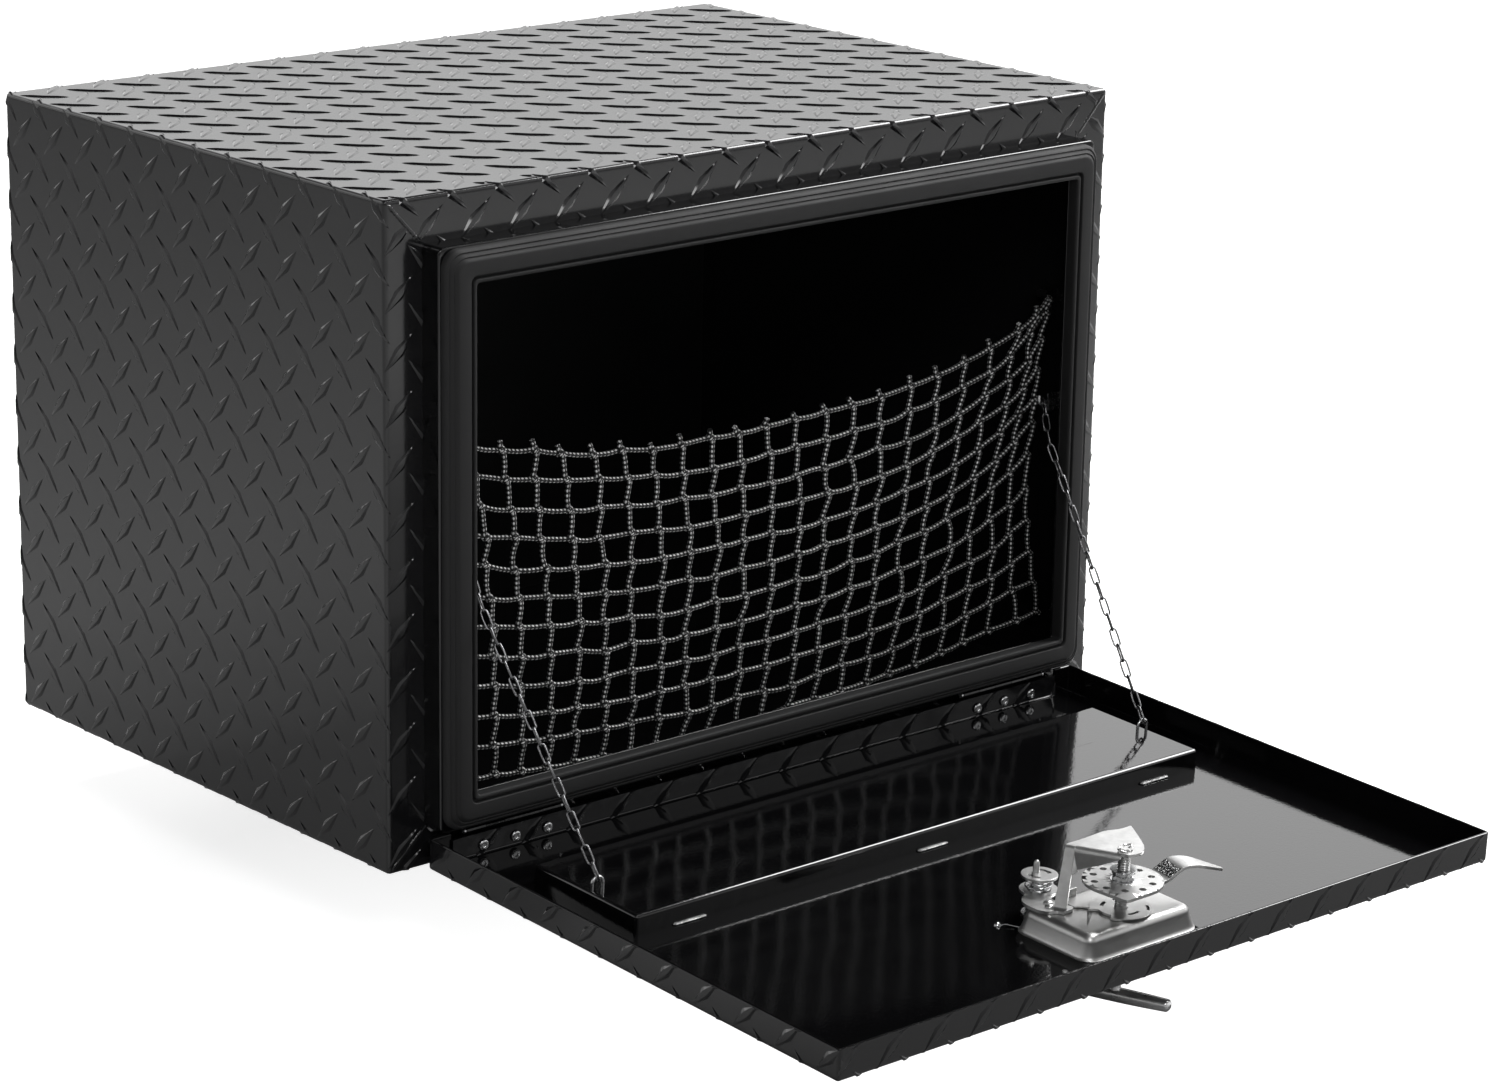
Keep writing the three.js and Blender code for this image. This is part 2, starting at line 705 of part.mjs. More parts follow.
// A net of square cords: junctions, bars between them and the walls of every gap.
function net(part) {
  const half_u = net_cord / 2 / (2 * (inner_half - net_side_clearance));
  const half_v = net_cord / 2 / (net_top_low - net_bottom_low);
  const us = [];
  const vs = [];
  for (let i = 0; i <= net_columns; i += 1) {
    const u = half_u + (1 - 2 * half_u) * i / net_columns;
    us.push(u - half_u, u + half_u);
  }
  for (let j = 0; j <= net_rows; j += 1) {
    const v = half_v + (1 - 2 * half_v) * j / net_rows;
    vs.push(v - half_v, v + half_v);
  }
  const place = [];
  for (const depth of [-net_cord / 2, net_cord / 2]) {
    for (const v of vs) {
      for (const u of us) {
        const [x, y, z] = net_point(u, v);
        place.push(x, y + depth, z);
      }
    }
  }
  const layer = us.length * vs.length;
  const at = (i, j, back) => back * layer + j * us.length + i;
  const index = [];
  const quad = (a, b, c, d) => index.push(a, b, c, a, c, d);
  const filled = (i, j) => i >= 0 && j >= 0 && i < us.length - 1 && j < vs.length - 1 && !(i % 2 && j % 2);
  for (let j = 0; j < vs.length - 1; j += 1) {
    for (let i = 0; i < us.length - 1; i += 1) {
      if (!filled(i, j)) continue;
      quad(at(i, j, 0), at(i + 1, j, 0), at(i + 1, j + 1, 0), at(i, j + 1, 0));
      quad(at(i, j, 1), at(i, j + 1, 1), at(i + 1, j + 1, 1), at(i + 1, j, 1));
      if (!filled(i - 1, j)) quad(at(i, j, 0), at(i, j + 1, 0), at(i, j + 1, 1), at(i, j, 1));
      if (!filled(i + 1, j)) quad(at(i + 1, j, 0), at(i + 1, j, 1), at(i + 1, j + 1, 1), at(i + 1, j + 1, 0));
      if (!filled(i, j - 1)) quad(at(i, j, 0), at(i, j, 1), at(i + 1, j, 1), at(i + 1, j, 0));
      if (!filled(i, j + 1)) quad(at(i, j + 1, 0), at(i + 1, j + 1, 0), at(i + 1, j + 1, 1), at(i, j + 1, 1));
    }
  }
  const geometry = new THREE.BufferGeometry();
  geometry.setAttribute('position', new THREE.Float32BufferAttribute(place, 3));
  geometry.setIndex(index);
  piece(part, 'net', solid(geometry), 'cord');
}

// Sheet-metal tabs on the side walls, each with an upturned lip that a cord hangs on.
function net_hooks(part, side) {
  const x = (a, b) => [side * a, side * b].sort((p, q) => p - q);
  const y0 = front_y + net_setback + net_cord / 2 + hole_clearance;
  const y = [y0, y0 + net_hook_width];
  net_hook_levels.forEach((z, i) => {
    const tab = joined([
      block(x(inner_half - sheet_thickness, inner_half), y, [z - net_hook_height, z]),
      block(x(inner_half - net_hook_arm, inner_half), y, [z - sheet_thickness, z]),
      block(
        x(inner_half - net_hook_arm, inner_half - net_hook_arm + sheet_thickness),
        y,
        [z - sheet_thickness, z + sheet_thickness * 2],
      ),
    ]);
    piece(part, `net_hook_${side < 0 ? 'left' : 'right'}_${i + 1}`, tab, 'zinc');
  });
}

// Latch, in the door's group.
function latch_pan(door) {
  const foot_x = [pan_shift - pan_half, pan_shift + pan_half];
  const foot_y = [spindle_y - pan_front, spindle_y + pan_back];
  const top_x = [foot_x[0] + pan_slope_side, foot_x[1] - pan_slope_side];
  const top_y = [foot_y[0] + pan_slope_front, foot_y[1] - pan_slope_back];
  const seat = outer_z - rest_gap;
  const grow = (span, by) => [span[0] - by, span[1] + by];
  const shell = block(foot_x, foot_y, [seat, pan_top_z], top_x, top_y);
  const flange = block(grow(foot_x, pan_flange), grow(foot_y, pan_flange), [seat - pan_sheet, seat]);
  const hollow = block(
    grow(foot_x, -pan_sheet),
    grow(foot_y, -pan_sheet),
    [seat, pan_top_z - pan_sheet],
    grow(top_x, -pan_sheet),
    grow(top_y, -pan_sheet),
  );
  const mouth = block(grow(foot_x, -pan_sheet), grow(foot_y, -pan_sheet), [seat - pan_sheet - cut_margin, seat]);
  const through = [pan_top_z - pan_sheet - cut_margin, pan_top_z + cut_margin];
  const holes = bridge_rivets.map(([x, back]) => rod(
    rivet_radius + hole_clearance,
    through,
    'z',
    x,
    spindle_y + back,
    8,
  ));
  const spindle_hole = rod(spindle_radius + hole_clearance, through, 'z', 0, spindle_y, 12);
  const outside = outer_z - rest_gap - pan_sheet;
  const lock_notch = rod(
    lock_flange_radius + hole_clearance,
    [outside - cut_margin, outer_z + cut_margin],
    'z',
    lock_x,
    spindle_y + lock_back,
    16,
  );
  const pan = cut(joined([shell, flange]), [hollow, mouth, spindle_hole, lock_notch, ...holes]);
  piece(door, 'latch_pan', pan, 'stainless');
}

function latch_bridge(door) {
  const foot_z = pan_top_z + rest_gap;
  const top_z = outer_z + bridge_level;
  const foot_span = [foot_z, foot_z + bridge_sheet];
  const foot = joined([
    prism(bridge_foot_plan.map(([x, back]) => [x, spindle_y + back]), foot_span, 'z'),
    rod(bridge_lobe_radius, foot_span, 'z', lock_x, spindle_y + lock_back, 24),
  ]);
  const leg_profile = [
    [bridge_leg_foot - bridge_sheet, foot_z],
    [bridge_leg_foot, foot_z],
    [bridge_leg_top, top_z],
    [bridge_leg_top, top_z + bridge_sheet],
    [bridge_leg_top - bridge_sheet, top_z + bridge_sheet],
    [bridge_leg_foot - bridge_sheet, foot_z + bridge_sheet],
  ];
  const last = bridge_web[bridge_web.length - 1][0];
  const web_profile = [
    [bridge_web[0][0], top_z + bridge_sheet],
    ...bridge_web.map(([across, drop]) => [across, top_z - drop]),
    [last, top_z + bridge_sheet],
  ];
  const leg = joined([
    prism(leg_profile, bridge_leg_across, 'y'),
    prism(web_profile, [bridge_leg_top - bridge_sheet, bridge_leg_top], 'x'),
  ]).rotate([0, 0, bridge_turn]).translate([0, spindle_y, 0]);
  const plan = bridge_plan.map(([x, back]) => [x, spindle_y + back]);
  const plate = prism(plan, [top_z, top_z + bridge_sheet], 'z');
  const through = [top_z - cut_margin, top_z + bridge_sheet + cut_margin];
  const stud_hole = rod(spindle_radius + hole_clearance, through, 'z', 0, spindle_y, 12);
  const holes = bridge_rivets.map(([x, back]) => rod(
    rivet_radius + hole_clearance,
    [foot_z - cut_margin, foot_z + bridge_sheet + cut_margin],
    'z',
    x,
    spindle_y + back,
    8,
  ));
  const lock_hole = rod(
    lock_radius + hole_clearance,
    [foot_z - cut_margin, foot_z + bridge_sheet + cut_margin],
    'z',
    lock_x,
    spindle_y + lock_back,
    24,
  );
  piece(door, 'latch_bridge', cut(joined([foot, leg, plate]), [stud_hole, lock_hole, ...holes]), 'stainless');
}

// A rivet across a stack between two levels, with a domed head at each end.
function rivet(x, y, low, high) {
  const head = rivet_head_height;
  return joined([
    rod(rivet_radius, [low - head, high + head], 'z', x, y, 8),
    rod(rivet_head_radius, [high, high + head], 'z', x, y, 8, rivet_radius),
    rod(rivet_radius, [low - head, low], 'z', x, y, 8, rivet_head_radius),
  ]);
}

function latch_rivets(door) {
  const low = pan_top_z - pan_sheet - rest_gap;
  const high = pan_top_z + rest_gap + bridge_sheet + rest_gap;
  bridge_rivets.forEach(([x, back], i) => {
    piece(door, `bridge_rivet_${i + 1}`, rivet(x, spindle_y + back, low, high), 'stainless');
  });
  const floor = rivet(floor_rivet_x, spindle_y + floor_rivet_back, outer_z - rest_gap, floor_z + rest_gap);
  piece(door, 'floor_rivet', floor, 'zinc');
}

function latch_tab(door) {
  const foot_z = pan_top_z + rest_gap;
  const y = tab_back.map((back) => spindle_y + back);
  const tab = joined([
    block(tab_x, y, [foot_z, foot_z + tab_sheet]),
    block(tab_x, [y[1] - tab_sheet, y[1]], [foot_z, foot_z + tab_height]),
    block([tab_x[0], tab_x[0] + tab_sheet], y, [foot_z, foot_z + tab_height]),
  ]);
  piece(door, 'lock_guide', tab, 'stainless');
}

function lock(door) {
  const y = spindle_y + lock_back;
  const seat = outer_z - rest_gap;
  const low = seat - lock_flange_height;
  const housing = joined([
    rod(lock_radius, [low, outer_z + lock_level], 'z', lock_x, y, 16),
    rod(lock_flange_radius, [low, seat], 'z', lock_x, y, 16),
  ]);
  const plug_bore = rod(
    lock_plug_radius + hole_clearance,
    [low - cut_margin, outer_z + lock_level + cut_margin],
    'z',
    lock_x,
    y,
    12,
  );
  piece(door, 'lock_cylinder', housing.subtract(plug_bore), 'zinc');

  const disc_z = outer_z + lock_disc_level;
  const key_slot = block(
    [lock_x - key_slot_width / 2, lock_x + key_slot_width / 2],
    [y - key_slot_length / 2, y + key_slot_length / 2],
    [low - cut_margin, low + key_slot_depth],
  );
  const plug = rod(lock_plug_radius, [low, disc_z], 'z', lock_x, y, 12).subtract(key_slot);
  piece(door, 'lock_plug', plug, 'zinc');
  const disc = joined([
    rod(lock_disc_radius, [disc_z + rest_gap, disc_z + rest_gap + lock_disc_thickness], 'z', lock_x, y, 16),
    rod(
      lock_pin_radius,
      [disc_z + rest_gap, disc_z + lock_pin_height],
      'z',
      lock_x,
      y + lock_pin_offset,
      8,
      lock_pin_radius * 0.7,
    ),
  ]);
  piece(door, 'lock_disc', disc, 'stainless');
}

// Turning parts, in a group on the spindle whose +X is the pawl's direction.
function spindle(turning) {
  const low = outer_z - pivot_drop + handle_eye_radius + rest_gap;
  const shaft = joined([
    rod(spindle_radius, [low, outer_z + bridge_level - rest_gap - spindle_below], 'z', 0, 0),
    rod(thread_radius, [outer_z + bridge_level - rest_gap - spindle_below, outer_z + spindle_above], 'z', 0, 0),
  ]);
  piece(turning, 'spindle', shaft, 'stainless');
  const clear = spindle_radius + hole_clearance;
  const ring = (radius, from, height, sides) => cut(rod(radius, [from, from + height], 'z', 0, 0, sides), [
    rod(clear, [from - cut_margin, from + height + cut_margin], 'z', 0, 0),
  ]);
  piece(turning, 'detent_disc', ring(detent_radius, pan_top_z + rest_gap, detent_thickness, 24), 'stainless');
  const cam_z = outer_z + cam_level;
  const pawl_z = cam_z - rest_gap - pawl_sheet;
  piece(turning, 'nut_lower', ring(nut_radius, pawl_z - rest_gap - nut_height, nut_height, 6), 'zinc');
  const over = cam_z + cam_thickness + rest_gap;
  piece(turning, 'nut_upper', ring(nut_radius, over, nut_height, 6), 'zinc');
  piece(turning, 'nut_lock', ring(nut_radius, over + nut_height + rest_gap, nut_height, 6), 'zinc');
}

function cam_plate(turning) {
  const tip = THREE.MathUtils.degToRad(-131.5) + pawl_rest;
  const touch = Math.acos(cam_radius / cam_tip_radius);
  const outline = [];
  for (let i = -12; i < 12; i += 1) {
    const off = Math.PI * i / 12;
    const radius = cam_radius / Math.cos(Math.max(0, touch - Math.abs(off)));
    outline.push([radius * Math.cos(tip + off), radius * Math.sin(tip + off)]);
  }
  const z = outer_z + cam_level;
  const span = [z, z + cam_thickness];
  const through = [z - cut_margin, z + cam_thickness + cut_margin];
  const holes = [rod(spindle_radius + hole_clearance, through, 'z', 0, 0)];
  for (let i = 0; i < 10; i += 1) {
    const angle = tip + Math.PI * 2 * i / 10;
    const x = cam_hole_circle * Math.cos(angle);
    const y = cam_hole_circle * Math.sin(angle);
    holes.push(rod(cam_hole_radius, through, 'z', x, y, 8));
  }
  piece(turning, 'cam_plate', cut(prism(outline, span, 'z'), holes), 'stainless');
}

function pawl(turning) {
  const low = outer_z + cam_level - rest_gap - pawl_sheet;
  const hump = low + pawl_hump;
  const tip = low + pawl_sheet - pawl_tip_drop;
  const profile = [
    [-pawl_root_reach, low],
    [pawl_rise_from, low],
    [pawl_rise_to, hump],
    [pawl_fall_from, hump],
    [pawl_reach, tip],
    [pawl_reach, tip + pawl_sheet],
    [pawl_fall_from, hump + pawl_sheet],
    [pawl_rise_to - pawl_sheet / 2, hump + pawl_sheet],
    [pawl_rise_from - pawl_sheet / 2, low + pawl_sheet],
    [-pawl_root_reach, low + pawl_sheet],
  ];
  const strip = prism(profile, [-pawl_root_reach, pawl_root_reach], 'y');
  const plan = [];
  for (let i = 0; i <= 8; i += 1) {
    const angle = Math.PI / 2 + Math.PI * i / 8;
    plan.push([pawl_half_width * Math.cos(angle), pawl_half_width * Math.sin(angle)]);
  }
  plan.push([pawl_fall_from, -pawl_half_width]);
  plan.push([pawl_reach + cut_margin, -pawl_tip_half_width]);
  plan.push([pawl_reach + cut_margin, pawl_tip_half_width]);
  plan.push([pawl_fall_from, pawl_half_width]);
  const footprint = prism(plan, [low - cut_margin, hump + pawl_sheet + cut_margin], 'z');
  const hole = rod(spindle_radius + hole_clearance, [low - cut_margin, low + pawl_sheet + cut_margin], 'z', 0, 0);
  piece(turning, 'pawl', strip.intersect(footprint).subtract(hole), 'stainless');
}

// T-handle, in a group under the spindle whose +X is the crossbar's direction.
function handle(turning) {
  const grip = new THREE.Group();
  grip.rotation.z = handle_direction + pawl_rest;
  turning.add(grip);
  const pivot = outer_z - pivot_drop;
  const bridge_low = pivot + handle_eye_radius + rest_gap;
  const slot_half = yoke_half - yoke_cheek;
  const cheek_z = [outer_z - yoke_bottom, bridge_low];
  const cheek_y = [-handle_eye_radius, handle_eye_radius];
  const pin_hole = rod(
    handle_pin_radius + hole_clearance,
    [-yoke_half - cut_margin, yoke_half + cut_margin],
    'x',
    0,
    pivot,
    8,
  );
  const socket_z = [bridge_low - cut_margin, bridge_low + yoke_bridge + cut_margin];
  const socket = rod(spindle_radius + hole_clearance, socket_z, 'z', 0, 0);
  const yoke = joined([
    block([-yoke_half, -slot_half], cheek_y, cheek_z),
    block([slot_half, yoke_half], cheek_y, cheek_z),
    block([-yoke_half, yoke_half], cheek_y, [bridge_low, bridge_low + yoke_bridge]),
  ]);
  piece(grip, 'handle_yoke', cut(yoke, [pin_hole, socket]), 'zinc');
  const pin = rod(handle_pin_radius, [-yoke_half - cut_margin, yoke_half + cut_margin], 'x', 0, pivot, 8);
  piece(grip, 'handle_pin', pin, 'zinc');

  const bar_z = pivot - handle_drop;
  const straight = handle_bar_half - handle_bar_taper;
  const eye_half = slot_half - rest_gap;
  const eye = rod(handle_eye_radius, [-eye_half, eye_half], 'x', 0, pivot, 12);
  const shank = rod(handle_shank_radius, [bar_z, pivot], 'z', 0, 0, 12);
  const bar = joined([
    rod(handle_bar_radius, [-straight, straight], 'x', 0, bar_z, 12),
    rod(handle_bar_radius, [straight, handle_bar_half], 'x', 0, bar_z, 12, handle_bar_end_radius),
    rod(handle_bar_end_radius, [-handle_bar_half, -straight], 'x', 0, bar_z, 12, handle_bar_radius),
  ]);
  piece(grip, 't_handle', joined([eye, shank, bar]).subtract(pin_hole), 'stainless');
}

function build() {
  const part = new THREE.Group();
  part.name = 'underbody_tool_box';
  case_panels(part);
  door_frame(part);
  door_seal(part);
  net(part);
  const door = new THREE.Group();
  door.position.set(0, axis_y, axis_z);
  door.rotation.x = door_sag;
  part.add(door);
  for (const side of [-1, 1]) {
    body_leaf(part, side);
    hinge_pin(part, side);
    chain_hook(part, side);
    chain(part, side);
    net_hooks(part, side);
    door_leaf(door, side);
    chain_eye(door, side);
  }
  door_tray(door);
  door_rail(door);
  door_screws(door);
  stiffener(door);
  latch_pan(door);
  latch_bridge(door);
  latch_rivets(door);
  latch_tab(door);
  lock(door);
  const turning = new THREE.Group();
  turning.position.set(0, spindle_y, 0);
  turning.rotation.z = -pawl_rest;
  door.add(turning);
  spindle(turning);
  cam_plate(turning);
  pawl(turning);
  handle(turning);
  return part;
}

export default build();
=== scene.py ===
# %% [markdown]
# # The looks of an underbody truck tool box
# The CAD parts are already packed: they carry the exact sizes and the moving bodies.
# This file dresses them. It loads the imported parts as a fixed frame, works out new
# surfaces with numpy for whatever the plain solids leave out (the raised tread, the
# braided net, threads and rounded edges), and gives each one a finish.
# All shape functions work in millimetres, as the CAD does; Blender gets metres.

import math

import bmesh
import bpy
import numpy as np
from mathutils import Matrix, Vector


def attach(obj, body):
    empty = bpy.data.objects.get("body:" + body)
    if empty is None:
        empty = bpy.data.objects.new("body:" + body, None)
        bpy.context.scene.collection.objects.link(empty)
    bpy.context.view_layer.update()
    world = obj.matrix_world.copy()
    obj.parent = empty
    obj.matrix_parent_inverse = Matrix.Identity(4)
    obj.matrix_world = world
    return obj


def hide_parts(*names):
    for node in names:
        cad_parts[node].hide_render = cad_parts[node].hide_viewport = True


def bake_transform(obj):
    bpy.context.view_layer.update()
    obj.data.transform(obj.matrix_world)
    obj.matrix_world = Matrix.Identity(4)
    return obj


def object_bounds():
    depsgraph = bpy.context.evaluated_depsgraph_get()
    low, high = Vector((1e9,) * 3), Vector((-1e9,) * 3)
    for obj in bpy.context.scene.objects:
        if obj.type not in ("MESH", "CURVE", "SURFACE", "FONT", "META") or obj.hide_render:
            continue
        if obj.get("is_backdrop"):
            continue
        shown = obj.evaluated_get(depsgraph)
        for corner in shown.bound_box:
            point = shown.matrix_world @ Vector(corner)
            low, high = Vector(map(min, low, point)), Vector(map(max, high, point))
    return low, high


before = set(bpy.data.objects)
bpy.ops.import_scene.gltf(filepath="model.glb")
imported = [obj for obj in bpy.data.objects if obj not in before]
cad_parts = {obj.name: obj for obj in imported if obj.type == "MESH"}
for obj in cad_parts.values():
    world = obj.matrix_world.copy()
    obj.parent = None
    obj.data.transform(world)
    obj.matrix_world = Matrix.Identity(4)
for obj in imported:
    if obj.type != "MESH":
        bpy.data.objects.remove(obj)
cad_low, cad_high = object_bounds()
print("CAD box, metres:", [round(v, 4) for v in (*cad_low, *cad_high)])

# %% [markdown]
# ## The camera
# The camera stands in front of the left corner, a little above the lid. Its place and
# its three directions were solved from the straight edges of the box in the picture,
# so they are given as numbers: where it stands, which way is right, and which way is up.

# %% Camera
camera_data = bpy.data.cameras.new("studio_camera")
camera_data.lens = 104.672
camera_data.sensor_width = 36.0
camera_data.clip_start = 0.05
camera = bpy.data.objects.new("studio_camera", camera_data)
right = np.array([0.755301, -0.655167, 0.016620])
up = np.array([0.175736, 0.226895, 0.957933])
back = np.array([-0.631377, -0.720607, 0.286511])
standing = np.array([-1.804234, -2.255124, 0.975256])
placed = np.eye(4)
placed[:3, 0], placed[:3, 1], placed[:3, 2], placed[:3, 3] = right, up, back, standing
camera.matrix_world = Matrix(placed.tolist())
bpy.context.scene.collection.objects.link(camera)
bpy.context.scene.camera = camera
print("camera lens", camera_data.lens, "mm")

# %% [markdown]
# ## Surfaces from numpy arrays
# Every new shape is a grid of points: rows run one way over the surface and columns the
# other. Neighbouring points make four-sided faces. A shape that closes on itself
# repeats its first column as its last, and merging equal points closes the seam.
# The outside is the side from which columns turned onto rows run anticlockwise.

# %% Grids and shells
MM = 0.001


def grid(points, uv=None):
    """Faces between the neighbouring points of a grid of rows and columns."""
    rows, columns = points.shape[:2]
    i, j = np.meshgrid(np.arange(rows - 1), np.arange(columns - 1), indexing="ij")
    first = i * columns + j
    faces = np.stack([first, first + 1, first + columns + 1, first + columns], -1)
    flat_uv = np.zeros((rows * columns, 2)) if uv is None else uv.reshape(-1, 2)
    return points.reshape(-1, 3), faces.reshape(-1, 4), flat_uv


def flipped(part):
    """The same faces seen from their other side."""
    points, faces, uv = part
    return points, faces[:, ::-1], uv


def gathered(parts):
    """Several parts as one: each part's faces count on from the points before it."""
    starts = np.cumsum([0] + [len(p[0]) for p in parts[:-1]])
    return (
        np.concatenate([p[0] for p in parts]),
        np.concatenate([p[1] + s for p, s in zip(parts, starts)]),
        np.concatenate([p[2] for p in parts]),
    )


def shell(outer, inner):
    """Two grids as the two faces of a sheet, and four strips that close its edges."""
    return [
        grid(outer),
        flipped(grid(inner)),
        grid(np.stack([inner[0], outer[0]])),
        grid(np.stack([outer[-1], inner[-1]])),
        grid(np.stack([outer[:, 0], inner[:, 0]])),
        grid(np.stack([inner[:, -1], outer[:, -1]])),
    ]


def polar(radius, angle, height):
    """Points (r cos a, r sin a, height) round the vertical axis."""
    return np.stack(np.broadcast_arrays(radius * np.cos(angle), radius * np.sin(angle), height), -1)


def turned(profile, sides=32, ripple=None):
    """A profile of (radius, height) pairs turned about the vertical axis. ripple, a
    function of angle and height, adds to the radius."""
    profile = np.asarray(profile, float)
    angle = np.linspace(0, 2 * np.pi, sides + 1)
    radius = np.repeat(profile[:, :1], sides + 1, 1)
    height = np.repeat(profile[:, 1:2], sides + 1, 1)
    if ripple is not None:
        radius = np.where(radius > 0, radius + ripple(angle[None], height), radius)
    return grid(polar(radius, angle, height))


def circle(radius, sides=8):
    """A closed circle of (across, up) pairs, its first point repeated at the end."""
    angle = np.linspace(0, 2 * np.pi, sides + 1)
    return radius * np.stack([np.cos(angle), np.sin(angle)], -1)


def carried(path, section, above=(0, 0, 1), size=None, closed=False):
    """A closed section carried along a path. Across is `above` turned onto the path's
    direction, and up is that direction turned onto across. size scales it on the way.
    An open path gets an end cap: its last ring drawn together into one point."""
    path = np.asarray(path, float)
    if closed:
        ahead = np.roll(path[:-1], -1, 0) - np.roll(path[:-1], 1, 0)
        ahead = np.concatenate([ahead, ahead[:1]])
    else:
        ahead = np.gradient(path, axis=0)
    ahead = ahead / np.linalg.norm(ahead, axis=1, keepdims=True)
    across = np.cross(np.broadcast_to(np.asarray(above, float), ahead.shape), ahead)
    across = across / np.linalg.norm(across, axis=1, keepdims=True)
    over = np.cross(ahead, across)
    size = np.ones(len(path)) if size is None else np.asarray(size, float)
    if size.ndim == 1:
        size = np.stack([size, size], -1)
    s = section[None] * size[:, None]
    points = path[:, None] + s[..., :1] * across[:, None] + s[..., 1:] * over[:, None]
    run = np.cumsum(np.r_[0, np.linalg.norm(np.diff(path, axis=0), axis=1)])
    if not closed:
        points = np.concatenate([
            np.repeat(path[:1, None], len(section), 1), points,
            np.repeat(path[-1:, None], len(section), 1)])
        run = np.r_[run[0], run, run[-1]]
    turn = np.linspace(0, 1, len(section))
    uv = np.stack(np.broadcast_arrays(turn[None], run[:, None]), -1)
    return grid(points, uv)


def rounded_outline(low, high, radius, steps=6):
    """An anticlockwise rectangle with rounded corners, its first point repeated."""
    (x0, y0), (x1, y1) = low, high
    turn = np.linspace(0, np.pi / 2, steps + 1)
    corners = [(x1, y0, -np.pi / 2), (x1, y1, 0), (x0, y1, np.pi / 2), (x0, y0, np.pi)]
    points = []
    for x, y, start in corners:
        cx, cy = x - np.sign(x - x0 - 1e-9) * radius, y - np.sign(y - y0 - 1e-9) * radius
        points.append(np.stack([cx + radius * np.cos(start + turn),
                                cy + radius * np.sin(start + turn)], -1))
    points = np.concatenate(points)
    return np.concatenate([points, points[:1]])


print("surface helpers ready")

# %% [markdown]
# ## From arrays to finished pieces
# One function turns parts into a Blender object: points that fall together are merged,
# which closes seams and poles, faces are shaded smoothly up to a chosen angle, and the
# piece is tied to the moving body that it belongs to. The object stays at the origin.

# %% Making a piece
made = {}
merge_distance = 2e-6


def piece(name, body, finishes, stands_for=(), smooth=38, closed=False):
    """One object from pairs of (parts, material), tied to its body, its material slot and
    the CAD nodes that it stands for. closed has its normals recalculated."""
    kinds = [gathered(parts) for parts, _ in finishes]
    points, faces, uv = gathered(kinds)
    mesh = bpy.data.meshes.new(name)
    mesh.from_pydata((points * MM).tolist(), [], faces.tolist())
    mesh.polygons.foreach_set("material_index", np.repeat(
        np.arange(len(kinds)), [len(k[1]) for k in kinds]).astype(np.int32))
    layer = mesh.uv_layers.new(name="UVMap")
    layer.data.foreach_set("uv", uv[faces.ravel()].astype(np.float32).ravel())
    for _, material in finishes:
        mesh.materials.append(material)
    work = bmesh.new()
    work.from_mesh(mesh)
    bmesh.ops.remove_doubles(work, verts=work.verts, dist=merge_distance)
    if closed:
        bmesh.ops.recalc_face_normals(work, faces=work.faces)
    work.to_mesh(mesh)
    work.free()
    mesh.polygons.foreach_set("use_smooth", np.ones(len(mesh.polygons), bool))
    mesh.set_sharp_from_angle(angle=math.radians(smooth))
    obj = bpy.data.objects.new(name, mesh)
    bpy.context.scene.collection.objects.link(obj)
    if body is not None:
        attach(obj, body)
    if stands_for:
        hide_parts(*stands_for)
    made[name] = sum(len(p.vertices) - 2 for p in mesh.polygons)
    print(f"{name}: {made[name]} triangles")
    return obj


# %% [markdown]
# ## Finishes
# A finish is a Principled shader plus small shared effects. The effects are node groups
# that give only masks, heights or normals: the pebbled skin of powder coat, wear where
# an edge is sharp, dust on what faces up, the grain of brushed metal and the braid of a
# cord. Patterns read Object coordinates in metres, so their scale is a count per metre.

# %% Node helpers
def node(tree, kind, inputs=None, **settings):
    """A node with its settings; an input is given a value or joined to a socket."""
    made_node = tree.nodes.new(kind)
    for key, value in settings.items():
        setattr(made_node, key, value)
    for key, value in (inputs or {}).items():
        socket = made_node.inputs[key]
        if isinstance(value, bpy.types.NodeSocket):
            tree.links.new(value, socket)
        else:
            socket.default_value = value
    return made_node


def math_node(tree, operation, a, b=0.0, clamp=False):
    """The result of one sum on two numbers or sockets."""
    return node(tree, "ShaderNodeMath", {0: a, 1: b}, operation=operation,
                use_clamp=clamp).outputs[0]


def effect(name, inputs, outputs):
    """An empty node group with named inputs and outputs."""
    tree = bpy.data.node_groups.new(name, "ShaderNodeTree")
    for label, kind, value in inputs:
        socket = tree.interface.new_socket(label, in_out="INPUT", socket_type=kind)
        if value is not None:
            socket.default_value = value
    for label, kind in outputs:
        tree.interface.new_socket(label, in_out="OUTPUT", socket_type=kind)
    return tree, tree.nodes.new("NodeGroupInput").outputs, tree.nodes.new("NodeGroupOutput")

print("node helpers ready")

# %% [markdown]
# The pebbled skin is a fine noise used as a bump. Wear is the sharpness of an edge, broken
# up by noise. Dust is how far a face looks up, times a cloud. Grain is noise stretched
# along one direction.

# %% Shared effects
VECTOR, NUMBER = "NodeSocketVector", "NodeSocketFloat"

pebble, given, result = effect(
    "Pebbled skin", [("Vector", VECTOR, None), ("Size", NUMBER, 900.0), ("Depth", NUMBER, 0.00003)],
    [("Height", NUMBER), ("Normal", VECTOR)])
skin = node(pebble, "ShaderNodeTexNoise", {"Vector": given["Vector"], "Scale": given["Size"],
                                           "Detail": 2.0, "Roughness": 0.45}).outputs["Fac"]
pebble.links.new(skin, result.inputs["Height"])
pebble.links.new(node(pebble, "ShaderNodeBump", {"Height": skin, "Distance": given["Depth"],
                                                 "Strength": 1.0}).outputs[0], result.inputs["Normal"])

